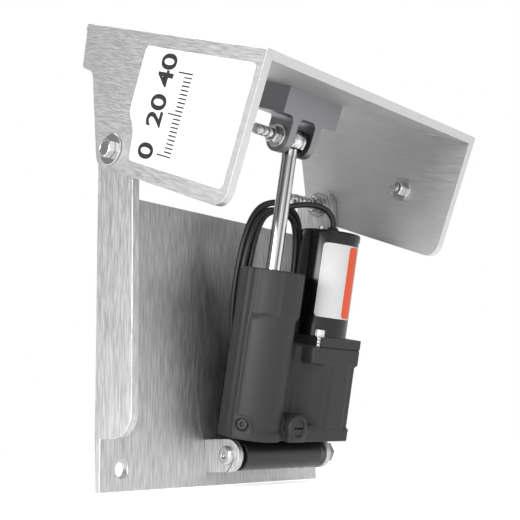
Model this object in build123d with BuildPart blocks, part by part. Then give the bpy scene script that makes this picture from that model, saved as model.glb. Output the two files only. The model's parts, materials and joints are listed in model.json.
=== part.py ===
from build123d import *
import os
from math import cos, pi, radians, sin, sqrt, tan

# Power trim and tilt unit, tilted up, in millimetres.
# Origin on the transom face, at mid width, half way between the two rows of transom bolts.
# X runs along the tilt pivots, Y points into the transom, Z is up.

# Transom channel
channel_width = 356.0
channel_depth = 63.8
plate_thickness = 9.5
plate_height = 332.7
foot_height = 56.0
foot_radius = 30.0
head_radius = 24.0
head_above_pivot = 20.5
lower_hole_height = 23.5
bolt_row_gap = 203.2
transom_hole_spacing = 296.6
transom_hole_diameter = 16.5
transom_hole_chamfer = 1.2

# Tilt pivots
pivot_height = 372.5
pivot_forward = 39.5
pivot_bolt_diameter = 12.7
pivot_bolt_reach = 58.0
bushing_wall = 1.6
side_gap = 0.5
running_clearance = 0.05
fit_clearance = 0.1

# Tilt bracket, measured along the web and deep into its flanges from the web's front edge
web_angle = 24.28
web_length = 317.0
bracket_thickness = 9.5
web_edge_radius = 2.5
pivot_along = 202.5
pivot_deep = 135.6
flange_depth = 157.7
nose_radius = 18.0
tail_reach = 23.5
tail_deep = 53.0
tail_radius = 5.0
throat_along = 281.0
throat_drop = 3.2
throat_radius = 12.0
heel_along = 224.6
heel_radius = 20.0
engine_hole_diameter = 13.5
lower_engine_spacing = 327.0
upper_engine_spacing = 250.8
lower_engine_along = 45.0
upper_engine_along = 248.0

# Clevis under the web
block_centre_x = 9.2
block_width = 94.6
block_length = 70.0
block_depth = 31.5
ear_thickness = 10.0
ear_gap = 29.4
ear_radius = 19.0
ear_fillet = 8.0
clevis_along = 128.0
clevis_deep = 67.0
clevis_bolt_diameter = 12.7
clevis_bolt_overhang = 27.0
ear_root = 1.0
block_screw_diameter = 8.0
block_screw_inset = 12.0
block_screw_socket = 4.8
block_screw_socket_depth = 2.0
block_screw_reach = 16.0
block_tap_depth = 19.0
open_pivot_gap = 0.3

# Bolt in the right flange, and the label on the left one
side_bolt_along = 80.0
side_bolt_deep = 85.0
side_bolt_diameter = 12.7
label_thickness = 0.3
label_front = 9.0
label_rear = 189.0
label_top = 16.0
label_bottom = 141.0
label_cut_along = 173.0
label_cut_deep = 108.0
label_cut_rise = 18.0
label_cut_lean = 6.0
label_radius = 6.0

# Lower pivot
lug_left_x = -25.5
lug_right_x = 133.0
lug_thickness = 7.5
lug_radius = 19.0
lower_pin_height = 35.0
lower_pin_forward = 48.5
lower_bolt_diameter = 15.0
tube_diameter = 36.0
tube_side_gap = 8.0
tube_chamfer = 1.0
lower_bush_wall = 2.0
lower_bush_length = 24.0
bush_flange = 3.0
bush_flange_stand = 3.0

# Ram
ram_x = 6.0
barrel_radius = 36.0
bore_radius = 27.0
barrel_base = 22.0
barrel_floor = 46.0
barrel_top = 221.0
collar_base = 168.0
collar_half = 37.5
collar_slope = 6.0
side_wall_stand = 1.5
side_wall_front = 10.0
side_wall_back = 17.0
side_rib_width = 2.4
side_rib_stand = 1.2
side_rib_spots = (2.0, -9.0)
lower_ledge = 33.0
ledge_stand = 1.5
neck_front = 6.0
neck_back = 24.0
neck_base = -12.0
neck_inset = 14.0
neck_overlap = 2.0
rod_diameter = 18.0
gland_depth = 18.0
gland_wall = 4.0
wiper_wall = 4.0
wiper_height = 5.0
piston_length = 22.0
seal_width = 5.0
seal_depth = 3.0
piston_clearance = 0.3
piston_rest_gap = 8.0
piston_nut_height = 8.0
piston_nut_gap = 1.0
eye_radius = 15.0
eye_side_gap = 4.7
eye_shank_radius = 9.6
eye_bush_wall = 2.0
eye_socket = 5.0
eye_neck = 6.0

# Motor and pump, on the ram's right side
motor_x = 102.0
motor_back = -1.0
motor_radius = 36.5
motor_can_length = 122.0
motor_cap_height = 10.0
motor_wall = 3.0
cap_overhang = 1.0
cap_plate = 4.0
cap_edge_radius = 3.0
end_plate_base = 138.0
end_plate_thickness = 12.0
end_plate_left = 70.0
end_plate_right = 147.5
end_plate_front = 38.5
end_plate_rear = 35.8
end_plate_corner = 4.0
motor_screw_front = 33.5
motor_screw_spread = 35.5
motor_screw_rear = 27.0
motor_screw_diameter = 6.0
motor_screw_reach = 10.0
motor_screw_flange = 1.2
motor_screw_flange_radius = 6.5
pump_left = 68.0
pump_right = 142.0
pump_front = 37.0
pump_left_corner = 22.0
pump_right_corner = 12.0
pump_pad_width = 32.0
pump_pad_stand = 1.5
pump_edge_x = 57.0
pump_edge_front = 11.5
pump_edge_radius = 2.5
pump_rear = 28.0
pump_base = 40.0
pump_top = 117.0
ring_left = 58.0
web_front = 4.0
foot_height_above = 15.0
foot_front = 38.5
foot_right = 147.0
foot_corner = 6.0
shaft_radius = 4.0
armature_radius = 24.0
armature_length = 62.0
commutator_radius = 13.0
commutator_length = 16.0
bearing_radius = 11.0
bearing_width = 7.0
bearing_wall = 3.0
magnet_thickness = 7.0
magnet_height = 70.0
magnet_angle = 130.0
brush_end_gap = 6.0
grommet_radius = 8.5
grommet_height = 6.0
grommet_tip_wall = 1.0
grommet_x = 104.0

# Gear pump under the motor
gear_teeth = 12
gear_module = 1.5
gear_width = 10.0
gear_backlash = 0.35
gear_tip_height = 0.95
gear_root_depth = 1.25
gear_tip_relief = 1.3
gear_end_gap = 0.3
tooth_flank_angle = 20.0
idler_pin_radius = 3.0
idler_pin_depth = 6.0

# Manual release valve and filler plug
valve_x = 46.5
valve_level = 39.1
boss_radius = 14.0
boss_front = 40.0
valve_radius = 9.0
valve_depth = 16.0
valve_slot = 2.0
valve_slot_depth = 4.0
plug_angle = 208.0
plug_level = 40.0
plug_radius = 6.5
plug_depth = 6.0
plug_stand = 2.0
plug_slot_width = 9.1
plug_slot_depth = 2.0

# Motor label
motor_label_bottom_gap = 24.0
motor_label_top_gap = 6.0
motor_label_from = 208.5
motor_label_to = 263.0
motor_stripe_to = 296.0

# Motor lead and its coil
cable_diameter = 7.5
coil_bundle = 18.0
coil_left = 0.0
coil_right = 94.0
coil_low = 108.0
coil_high = 304.0
coil_gap = 0.8
tie_width = 12.0
tie_thickness = 1.5
tie_level = 205.0
connector_width = 20.0
connector_thickness = 14.0
connector_length = 44.0
connector_dip = 3.0
connector_edge = 2.0
connector_offset = 14.0

# Fastener proportions for a bolt of diameter 1
head_across = 1.5
head_height = 0.63
nut_height = 0.8
washer_across = 2.8
washer_height = 0.2
lower_washer_across = 1.8
clevis_washer_across = 2.2
side_washer_across = 2.4
thread_past_nut = 0.3
button_across = 1.5
button_height = 0.4
button_edge = 0.3
button_socket = 0.5
button_socket_depth = 3.0
countersink_across = 2.0
motor_screw_across = 1.6
motor_screw_height = 0.8

# Derived places
plate_bottom = -(lower_hole_height + bolt_row_gap / 2)
web_dir = Vector(0, cos(radians(web_angle)), sin(radians(web_angle)))
deep_dir = Vector(0, sin(radians(web_angle)), -cos(radians(web_angle)))
tilt_pivot = Vector(0, -pivot_forward, plate_bottom + pivot_height)
web_corner = tilt_pivot - web_dir * pivot_along - deep_dir * pivot_deep
bracket_width = channel_width + 2 * (side_gap + bracket_thickness)
bracket_inside = bracket_width / 2 - bracket_thickness
lower_pin = Vector(0, -lower_pin_forward, plate_bottom + lower_pin_height)
clevis_pin = web_corner + web_dir * clevis_along + deep_dir * clevis_deep
ram_span = clevis_pin - lower_pin
pinned_length = ram_span.length
ram_axis = ram_span.normalized()
tube_left = lug_left_x + lug_thickness + tube_side_gap
tube_right = lug_right_x - tube_side_gap
ear_left = ram_x - ear_gap / 2 - ear_thickness
ear_right = ram_x + ear_gap / 2
tail_along = throat_along + tail_reach
motor_base = end_plate_base + end_plate_thickness
motor_cap_base = motor_base + motor_can_length
motor_top = motor_cap_base + motor_cap_height
motor_label_base = motor_base + motor_label_bottom_gap
motor_label_height = motor_cap_base - motor_label_top_gap - motor_label_base
eye_width = ear_gap - 2 * eye_side_gap
gear_pitch_radius = gear_teeth * gear_module / 2
gear_tip_radius = gear_pitch_radius + gear_tip_height * gear_module
gear_root_radius = gear_pitch_radius - gear_root_depth * gear_module
gear_centres = 2 * gear_pitch_radius + gear_backlash / 2
gear_chamber_base = end_plate_base - gear_width - 2 * gear_end_gap
piston_base = barrel_top - gland_depth - piston_rest_gap - piston_length
block_along = clevis_along - ear_radius
coil_back = barrel_radius + coil_gap + coil_bundle / 2
end_plate_centre = ((end_plate_left + end_plate_right) / 2, (end_plate_rear - end_plate_front) / 2)
motor_screw_spots = (
    (motor_x - motor_screw_spread, motor_back - motor_screw_front),
    (motor_x + motor_screw_spread, motor_back + motor_screw_rear),
)


def bracket_point(x, along, deep):
    return web_corner + web_dir * along + deep_dir * deep + Vector(x, 0, 0)


def bracket_side(x):
    # local axes: along the web, and out of the flange's depth
    return Plane(origin=bracket_point(x, 0, 0), x_dir=web_dir, z_dir=(1, 0, 0))


def web_level(deep):
    # local axes: across the bracket, and along the web
    return Plane(origin=bracket_point(0, 0, deep), x_dir=(1, 0, 0), z_dir=deep_dir * -1)


def ram_level(height):
    # local axes: across the unit, and towards the transom
    return Plane(origin=lower_pin + ram_axis * height, x_dir=(1, 0, 0), z_dir=ram_axis)


def ram_point(x, back, height):
    return ram_level(height).from_local_coords(Vector(x, back, 0))


def ram_front(x, front, height):
    # plane facing the viewer, its normal pointing away from the transom
    facing = ram_level(0).y_dir * -1
    return Plane(origin=ram_point(x, -front, height), x_dir=(1, 0, 0), z_dir=facing)


def barrel_radial(angle, radius, height):
    # plane square to a radius of the barrel, its normal pointing outwards
    level = ram_level(height)
    outwards = level.x_dir * cos(radians(angle)) + level.y_dir * sin(radians(angle))
    spot = ram_point(ram_x, 0, height) + outwards * radius
    return Plane(origin=spot, x_dir=ram_axis, z_dir=outwards)


def across(x, centre):
    return Plane(origin=(x, centre.Y, centre.Z), x_dir=(0, 1, 0), z_dir=(1, 0, 0))


def disc(plane, radius, length, bore=0.0, mode=Mode.ADD):
    with BuildSketch(plane) as outline:
        Circle(radius)
        if bore > 0:
            Circle(bore, mode=Mode.SUBTRACT)
    extrude(outline.sketch, amount=length, mode=mode)


def hexagon(plane, across_flats, length, bore=0.0):
    with BuildSketch(plane) as outline:
        RegularPolygon(across_flats / 2, 6, major_radius=False)
        if bore > 0:
            Circle(bore, mode=Mode.SUBTRACT)
    extrude(outline.sketch, amount=length)


def round_corner(sketch, point, radius):
    corner = sketch.vertices().sort_by_distance(Vector(point[0], point[1], 0))[0]
    fillet(corner, radius=radius)


def keep(part, name):
    part.part.label = name
    export_step(part.part, "parts/" + name + ".step")


os.makedirs("parts", exist_ok=True)

# Transom channel: plate with a flange on each side
with BuildPart() as transom_channel:
    with BuildSketch(Plane.XZ) as plate_face:
        with Locations((0, plate_bottom)):
            Rectangle(channel_width, plate_height, align=(Align.CENTER, Align.MIN))
    extrude(amount=plate_thickness)
    for flange_x in (-channel_width / 2, channel_width / 2 - plate_thickness):
        with BuildSketch(Plane.YZ.offset(flange_x)) as flange_face:
            with Locations((-channel_depth / 2, plate_bottom + foot_height)):
                flange_height = pivot_height + head_above_pivot - foot_height
                Rectangle(channel_depth, flange_height, align=(Align.CENTER, Align.MIN))
            round_corner(flange_face, (-channel_depth, plate_bottom + foot_height), foot_radius)
            flange_head = plate_bottom + pivot_height + head_above_pivot
            round_corner(flange_face, (-channel_depth, flange_head), head_radius)
            round_corner(flange_face, (0, flange_head), head_radius)
            with Locations((-pivot_forward, plate_bottom + pivot_height)):
                Circle(pivot_bolt_diameter / 2 + fit_clearance, mode=Mode.SUBTRACT)
        extrude(amount=plate_thickness)
    lower_row = plate_bottom + lower_hole_height
    hole_spots = [
        (i * transom_hole_spacing / 2, row) for i in (-1, 1) for row in (lower_row, lower_row + bolt_row_gap)
    ]
    with BuildSketch(Plane.XZ) as transom_holes:
        with Locations(*hole_spots):
            Circle(transom_hole_diameter / 2)
    extrude(amount=plate_thickness, mode=Mode.SUBTRACT)
    with BuildSketch(Plane.XZ.offset(plate_thickness)) as hole_mouths:
        with Locations(*hole_spots):
            Circle(transom_hole_diameter / 2 + transom_hole_chamfer)
    extrude(amount=-transom_hole_chamfer, taper=45, mode=Mode.SUBTRACT)
keep(transom_channel, "transom_channel")

# Lower lugs: rounded plates standing on the transom plate
for lug_name, lug_x in (("lower_lug_left", lug_left_x), ("lower_lug_right", lug_right_x)):
    with BuildPart() as lug:
        lug_reach = lower_pin_forward - plate_thickness
        with BuildSketch(across(lug_x, lower_pin)) as lug_face:
            Circle(lug_radius)
            Rectangle(lug_reach, 2 * lug_radius, align=(Align.MIN, Align.CENTER))
            Circle(lower_bolt_diameter / 2 + fit_clearance, mode=Mode.SUBTRACT)
        extrude(amount=lug_thickness)
    keep(lug, lug_name)

# Lower pivot bolt with a button head, its washers and nut
lower_bolt_radius = lower_bolt_diameter / 2
lower_washer = washer_height * lower_bolt_diameter
with BuildPart() as lower_pivot_bolt:
    lower_nut_end = lug_right_x + lug_thickness + lower_washer + nut_height * lower_bolt_diameter
    lower_bolt_end = lower_nut_end + thread_past_nut * lower_bolt_diameter
    disc(across(lug_left_x, lower_pin), lower_bolt_radius, lower_bolt_end - lug_left_x)
    button_stand = button_height * lower_bolt_diameter
    disc(across(lug_left_x, lower_pin), button_across * lower_bolt_radius, -button_stand)
    head_rim = lower_pivot_bolt.edges().filter_by(GeomType.CIRCLE).sort_by(Axis.X)[0]
    fillet(head_rim, radius=button_edge * lower_bolt_diameter)
    disc(across(lug_left_x - button_stand, lower_pin), button_socket * lower_bolt_radius, button_socket_depth,
         mode=Mode.SUBTRACT)
keep(lower_pivot_bolt, "lower_pivot_bolt")

with BuildPart() as lower_pivot_washers:
    washer_gap = tube_side_gap - bush_flange
    for washer_x, thickness in (
        (lug_left_x + lug_thickness, washer_gap - side_gap),
        (lug_right_x - washer_gap + side_gap, washer_gap - side_gap),
        (lug_right_x + lug_thickness, lower_washer),
    ):
        disc(across(washer_x, lower_pin), lower_washer_across * lower_bolt_radius, thickness,
             lower_bolt_radius + fit_clearance)
keep(lower_pivot_washers, "lower_pivot_washers")

with BuildPart() as lower_pivot_nut:
    nut_plane = across(lug_right_x + lug_thickness + lower_washer, lower_pin)
    hexagon(nut_plane, head_across * lower_bolt_diameter, nut_height * lower_bolt_diameter,
            lower_bolt_radius + fit_clearance)
keep(lower_pivot_nut, "lower_pivot_nut")

# Tilt pivots: a bolt on each side with a washer outside, and two washers and a nut inside
pivot_bolt_radius = pivot_bolt_diameter / 2
pivot_washer = washer_height * pivot_bolt_diameter
inner_face = channel_width / 2 - plate_thickness
outer_face = bracket_width / 2
pivot_sides = (-1, 1)
with BuildPart() as pivot_bolts:
    for side in pivot_sides:
        head_seat = across(side * (outer_face + side_gap + pivot_washer), tilt_pivot)
        reach = outer_face + side_gap + pivot_washer - inner_face + pivot_bolt_reach
        disc(head_seat, pivot_bolt_radius, -side * reach)
        hexagon(head_seat, head_across * pivot_bolt_diameter, side * head_height * pivot_bolt_diameter)
keep(pivot_bolts, "pivot_bolts")

with BuildPart() as pivot_washers:
    washer_bore = pivot_bolt_radius + fit_clearance
    washer_radius = washer_across * pivot_bolt_diameter / 2
    for side in pivot_sides:
        outer_seat = across(side * (outer_face + side_gap), tilt_pivot)
        disc(outer_seat, washer_radius, side * pivot_washer, washer_bore)
        disc(across(side * inner_face, tilt_pivot), washer_radius, -side * 2 * pivot_washer, washer_bore)
keep(pivot_washers, "pivot_washers")

with BuildPart() as pivot_nuts:
    for side in pivot_sides:
        seat = across(side * (inner_face - 2 * pivot_washer), tilt_pivot)
        hexagon(seat, head_across * pivot_bolt_diameter, -side * nut_height * pivot_bolt_diameter,
                washer_bore)
keep(pivot_nuts, "pivot_nuts")

bushing_radius = pivot_bolt_radius + running_clearance + bushing_wall
with BuildPart() as pivot_bushings:
    for side in pivot_sides:
        bush_plane = across(side * bracket_inside, tilt_pivot)
        disc(bush_plane, bushing_radius, side * bracket_thickness, pivot_bolt_radius + running_clearance)
keep(pivot_bushings, "pivot_bushings")

# Tilt bracket: web and two shaped flanges outside the transom channel
with BuildPart() as tilt_bracket:
    with BuildSketch(web_level(0)) as web_face:
        with Locations((0, web_length / 2)):
            Rectangle(bracket_width, web_length)
    extrude(amount=-bracket_thickness)
    for flange_x in (-bracket_width / 2, bracket_inside):
        with BuildSketch(bracket_side(flange_x)) as bracket_flange:
            with BuildLine():
                Polyline(
                    (0, 0),
                    (web_length, 0),
                    (tail_along, -tail_deep),
                    (throat_along, -tail_deep - throat_drop),
                    (heel_along, -flange_depth),
                    (0, -flange_depth),
                    close=True,
                )
            make_face()
            round_corner(bracket_flange, (tail_along, -tail_deep), tail_radius)
            round_corner(bracket_flange, (throat_along, -tail_deep - throat_drop), throat_radius)
            round_corner(bracket_flange, (heel_along, -flange_depth), heel_radius)
            round_corner(bracket_flange, (0, -flange_depth), nose_radius)
            with Locations((pivot_along, -pivot_deep)):
                Circle(bushing_radius, mode=Mode.SUBTRACT)
        extrude(amount=bracket_thickness)
    long_edges = tilt_bracket.edges().filter_by(Axis(web_corner, web_dir)).sort_by_distance(
        bracket_point(-bracket_width / 2, web_length / 2, 0))
    far_edges = tilt_bracket.edges().filter_by(Axis(web_corner, web_dir)).sort_by_distance(
        bracket_point(bracket_width / 2, web_length / 2, 0))
    fillet([long_edges[0], far_edges[0]], radius=web_edge_radius)
    engine_rows = ((lower_engine_along, lower_engine_spacing), (upper_engine_along, upper_engine_spacing))
    for along, spacing in engine_rows:
        with BuildSketch(web_level(0)) as engine_holes:
            with Locations((-spacing / 2, along), (spacing / 2, along)):
                Circle(engine_hole_diameter / 2)
        extrude(amount=-bracket_thickness, mode=Mode.SUBTRACT)
    screw_x = block_width / 2 - block_screw_inset
    screw_along = (block_along + block_screw_inset, block_along + block_length - block_screw_inset)
    screw_spots = [(block_centre_x + i * screw_x, a) for i in (-1, 1) for a in screw_along]
    screw_radius = block_screw_diameter / 2
    with BuildSketch(web_level(0)) as screw_holes:
        with Locations(*screw_spots):
            Circle(screw_radius + fit_clearance)
    extrude(amount=-bracket_thickness, mode=Mode.SUBTRACT)
    with BuildSketch(web_level(0)) as head_pockets:
        with Locations(*screw_spots):
            Circle(countersink_across * screw_radius + fit_clearance)
    extrude(amount=-screw_radius, taper=45, mode=Mode.SUBTRACT)
    side_bolt_spot = bracket_point(0, side_bolt_along, side_bolt_deep)
    disc(across(bracket_inside, side_bolt_spot), side_bolt_diameter / 2 + fit_clearance, bracket_thickness,
         mode=Mode.SUBTRACT)
keep(tilt_bracket, "tilt_bracket")

# Clevis block with two ears
with BuildPart() as clevis_block:
    block_top = bracket_thickness
    block_face = block_top + block_depth
    with BuildSketch(web_level(block_top)) as block_outline:
        with Locations((block_centre_x, block_along + block_length / 2)):
            Rectangle(block_width, block_length)
    extrude(amount=-block_depth)
    for ear_x in (ear_left, ear_right):
        with BuildSketch(bracket_side(ear_x)) as ear_outline:
            with Locations((clevis_along, -clevis_deep)):
                Circle(ear_radius)
            with Locations((clevis_along, -(block_face - ear_root + clevis_deep) / 2)):
                Rectangle(2 * ear_radius, clevis_deep - block_face + ear_root)
        extrude(amount=ear_thickness)
    ear_roots = clevis_block.edges().filter_by(Axis(web_corner, web_dir)).filter_by(
        lambda edge: abs(web_level(block_face).to_local_coords(edge.center()).Z) < fit_clearance
        and abs(edge.center().X - block_centre_x) < block_width / 2 - ear_root)
    fillet(ear_roots, radius=ear_fillet)
    disc(across(ear_left, clevis_pin), clevis_bolt_diameter / 2 + fit_clearance, ear_gap + 2 * ear_thickness,
         mode=Mode.SUBTRACT)
    with BuildSketch(web_level(block_top)) as tapped_holes:
        with Locations(*screw_spots):
            Circle(screw_radius + fit_clearance)
    extrude(amount=-block_tap_depth, mode=Mode.SUBTRACT)
keep(clevis_block, "clevis_block")

with BuildPart() as clevis_block_screws:
    with BuildSketch(web_level(0)) as shanks:
        with Locations(*screw_spots):
            Circle(screw_radius)
    extrude(amount=-(bracket_thickness + block_screw_reach))
    with BuildSketch(web_level(0)) as heads:
        with Locations(*screw_spots):
            Circle(countersink_across * screw_radius)
    extrude(amount=-screw_radius, taper=45)
    with BuildSketch(web_level(0)) as sockets:
        with Locations(*screw_spots):
            RegularPolygon(block_screw_socket / 2, 6, major_radius=False)
    extrude(amount=-block_screw_socket_depth, mode=Mode.SUBTRACT)
keep(clevis_block_screws, "clevis_block_screws")

# Clevis bolt: an end in each ear, and a middle that stays in the rod's eye
clevis_radius = clevis_bolt_diameter / 2
clevis_washer = washer_height * clevis_bolt_diameter
eye_left = ram_x - eye_width / 2
with BuildPart() as clevis_bolt_head_end:
    head_seat = across(ear_right + ear_thickness + clevis_washer, clevis_pin)
    stub = ear_thickness + clevis_washer + eye_side_gap - open_pivot_gap
    disc(head_seat, clevis_radius, -stub)
    hexagon(head_seat, head_across * clevis_bolt_diameter, head_height * clevis_bolt_diameter)
keep(clevis_bolt_head_end, "clevis_bolt_head_end")

with BuildPart() as clevis_bolt_thread_end:
    thread_end = ear_left - clevis_washer - nut_height * clevis_bolt_diameter - clevis_bolt_overhang
    disc(across(thread_end, clevis_pin), clevis_radius, eye_left - open_pivot_gap - thread_end)
keep(clevis_bolt_thread_end, "clevis_bolt_thread_end")

with BuildPart() as clevis_washers:
    for washer_x in (ear_left - clevis_washer, ear_right + ear_thickness):
        disc(across(washer_x, clevis_pin), clevis_washer_across * clevis_radius, clevis_washer,
             clevis_radius + fit_clearance)
keep(clevis_washers, "clevis_washers")

with BuildPart() as clevis_nut:
    hexagon(across(ear_left - clevis_washer, clevis_pin), head_across * clevis_bolt_diameter,
            -nut_height * clevis_bolt_diameter, clevis_radius + fit_clearance)
keep(clevis_nut, "clevis_nut")

with BuildPart() as clevis_bolt_middle:
    disc(across(eye_left, clevis_pin), clevis_radius, eye_width)
keep(clevis_bolt_middle, "clevis_bolt_middle")

# Bolt through the right flange, with a washer each side and a nut inside
side_radius = side_bolt_diameter / 2
side_washer = washer_height * side_bolt_diameter
flange_outside = bracket_width / 2
with BuildPart() as side_bolt:
    head_seat = across(flange_outside + side_washer, side_bolt_spot)
    side_reach = bracket_thickness + 2 * side_washer + (nut_height + thread_past_nut) * side_bolt_diameter
    disc(head_seat, side_radius, -side_reach)
    hexagon(head_seat, head_across * side_bolt_diameter, head_height * side_bolt_diameter)
keep(side_bolt, "side_bolt")

with BuildPart() as side_washers:
    for washer_x, thickness in ((flange_outside, side_washer), (bracket_inside, -side_washer)):
        disc(across(washer_x, side_bolt_spot), side_washer_across * side_radius, thickness,
             side_radius + fit_clearance)
keep(side_washers, "side_washers")

with BuildPart() as side_nut:
    hexagon(across(bracket_inside - side_washer, side_bolt_spot), head_across * side_bolt_diameter,
            -nut_height * side_bolt_diameter, side_radius + fit_clearance)
keep(side_nut, "side_nut")

# Label on the left flange, its rear lower corner cut away for the pivot washer
with BuildPart() as side_label:
    with BuildSketch(bracket_side(-bracket_width / 2)) as label_face:
        with BuildLine():
            Polyline(
                (label_front, -label_top),
                (label_rear, -label_top),
                (label_rear, -label_cut_deep + label_cut_rise),
                (label_cut_along, -label_cut_deep),
                (label_cut_along - label_cut_lean, -label_bottom),
                (label_front, -label_bottom),
                close=True,
            )
        make_face()
        for spot in ((label_front, -label_top), (label_rear, -label_top), (label_front, -label_bottom),
                     (label_cut_along - label_cut_lean, -label_bottom)):
            round_corner(label_face, spot, label_radius)
    extrude(amount=-label_thickness)
keep(side_label, "side_label")

# Pivot tube on the lower bolt, with a flanged bushing in each end
tube_radius = tube_diameter / 2
bush_bore = lower_bolt_radius + running_clearance
bush_outer = bush_bore + lower_bush_wall
with BuildPart() as pivot_tube:
    disc(across(tube_left, lower_pin), tube_radius, tube_right - tube_left, bush_outer)
    round_edges = pivot_tube.edges().filter_by(GeomType.CIRCLE)
    tube_rims = round_edges.filter_by(lambda rim: rim.radius > tube_radius - fit_clearance)
    chamfer(tube_rims, length=tube_chamfer)
keep(pivot_tube, "pivot_tube")

with BuildPart() as pivot_tube_bushings:
    for end_x, inward in ((tube_left, 1), (tube_right, -1)):
        disc(across(end_x, lower_pin), bush_outer, inward * lower_bush_length, bush_bore)
        disc(across(end_x, lower_pin), bush_outer + bush_flange_stand, -inward * bush_flange, bush_bore)
keep(pivot_tube_bushings, "pivot_tube_bushings")

# Cylinder casting: barrel, collar, pump body, foot and the neck that holds the pivot tube
gland_radius = bore_radius + gland_wall
ring_centre = (motor_x, motor_back)
idler_centre = (motor_x, motor_back + gear_centres)
chamber_radius = gear_tip_radius + gear_end_gap
with BuildPart() as cylinder_casting:
    with BuildSketch(ram_level(barrel_base)) as barrel_round:
        with Locations((ram_x, 0)):
            Circle(barrel_radius)
    extrude(amount=barrel_top - barrel_base)
    with BuildSketch(ram_level(collar_base)) as collar_outline:
        with Locations((ram_x, 0)):
            RegularPolygon(collar_half, 8, major_radius=False, rotation=22.5)
        with Locations((ram_x, barrel_radius)):
            Rectangle(4 * collar_half, 4 * collar_half, align=(Align.CENTER, Align.MAX), mode=Mode.INTERSECT)
    extrude(amount=barrel_top - collar_base)
    extrude(collar_outline.sketch, amount=-collar_slope, taper=30)
    with BuildSketch(ram_level(barrel_base)) as side_wall:
        wall_reach = barrel_radius + side_wall_stand
        with Locations((ram_x - wall_reach, (side_wall_back - side_wall_front) / 2)):
            Rectangle(wall_reach, side_wall_back + side_wall_front, align=(Align.MIN, Align.CENTER))
        for rib_spot in side_rib_spots:
            with Locations((ram_x - wall_reach - side_rib_stand, rib_spot)):
                Rectangle(wall_reach, side_rib_width, align=(Align.MIN, Align.CENTER))
    extrude(amount=barrel_top - barrel_base)
    with BuildSketch(ram_level(barrel_base)) as ledge_round:
        with Locations((ram_x, 0)):
            Circle(barrel_radius + ledge_stand)
    extrude(amount=lower_ledge - barrel_base)
    with BuildSketch(ram_level(pump_base)) as pump_round:
        with Locations((pump_left, -pump_front)):
            Rectangle(pump_right - pump_left, pump_front + pump_rear, align=Align.MIN)
        pump_corners = pump_round.vertices().group_by(Axis.X)
        fillet(pump_corners[0].sort_by(Axis.Y)[0], radius=pump_left_corner)
        fillet(pump_corners[-1].sort_by(Axis.Y)[0], radius=pump_right_corner)
        with Locations((pump_edge_x, -pump_edge_front)):
            Circle(pump_edge_radius)
        make_hull()
        with Locations((pump_right - pump_right_corner, -pump_front - pump_pad_stand)):
            Rectangle(pump_pad_width, pump_front, align=(Align.MAX, Align.MIN))
    extrude(amount=pump_top - pump_base)
    with BuildSketch(ram_level(barrel_base)) as join_web:
        with Locations((ram_x, (pump_rear - web_front) / 2)):
            Rectangle(motor_x - ram_x, web_front + pump_rear, align=(Align.MIN, Align.CENTER))
    extrude(amount=pump_top - barrel_base)
    with BuildSketch(ram_level(barrel_base)) as foot_outline:
        with Locations(((valve_x + foot_right) / 2, (pump_rear - foot_front) / 2)):
            Rectangle(foot_right - valve_x, foot_front + pump_rear)
        fillet(foot_outline.vertices().group_by(Axis.X)[-1], radius=foot_corner)
    extrude(amount=foot_height_above)
    with BuildSketch(ram_level(pump_top)) as pump_ring:
        with Locations((ring_left, -end_plate_front)):
            Rectangle(end_plate_right - ring_left, end_plate_front + end_plate_rear, align=Align.MIN)
        fillet(pump_ring.vertices(), radius=end_plate_corner)
    extrude(amount=end_plate_base - pump_top)
    with BuildSketch(ram_level(neck_base)) as neck_outline:
        with Locations(((tube_left + tube_right) / 2, (neck_front + neck_back) / 2)):
            Rectangle(tube_right - tube_left - neck_inset, neck_back - neck_front)
    extrude(amount=barrel_base - neck_base + neck_overlap)
    with BuildSketch(ram_front(valve_x, 0, valve_level)) as valve_boss:
        Circle(boss_radius)
        Rectangle(2 * boss_radius, valve_level - barrel_base, align=(Align.CENTER, Align.MAX))
    extrude(amount=boss_front)
    disc(across(tube_left, lower_pin), tube_radius + fit_clearance, tube_right - tube_left,
         mode=Mode.SUBTRACT)
    with BuildSketch(ram_level(barrel_floor)) as bore_round:
        with Locations((ram_x, 0)):
            Circle(bore_radius)
    extrude(amount=barrel_top - barrel_floor, mode=Mode.SUBTRACT)
    with BuildSketch(ram_level(barrel_top - gland_depth)) as gland_seat:
        with Locations((ram_x, 0)):
            Circle(gland_radius)
    extrude(amount=gland_depth, mode=Mode.SUBTRACT)
    with BuildSketch(ram_level(gear_chamber_base)) as gear_chamber:
        with Locations(ring_centre, idler_centre):
            Circle(chamber_radius)
    extrude(amount=end_plate_base - gear_chamber_base, mode=Mode.SUBTRACT)
    with BuildSketch(ram_level(gear_chamber_base - idler_pin_depth)) as idler_seat:
        with Locations(idler_centre):
            Circle(idler_pin_radius)
    extrude(amount=idler_pin_depth, mode=Mode.SUBTRACT)
    disc(ram_front(valve_x, boss_front, valve_level), valve_radius + running_clearance, -valve_depth,
         mode=Mode.SUBTRACT)
    disc(barrel_radial(plug_angle, barrel_radius + plug_stand, plug_level), plug_radius + fit_clearance,
         -plug_stand - plug_depth, mode=Mode.SUBTRACT)
    with BuildSketch(ram_level(end_plate_base)) as screw_seats:
        with Locations(*motor_screw_spots):
            Circle(motor_screw_diameter / 2 + fit_clearance)
    extrude(amount=-motor_screw_reach - side_gap, mode=Mode.SUBTRACT)
keep(cylinder_casting, "cylinder_casting")

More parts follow.
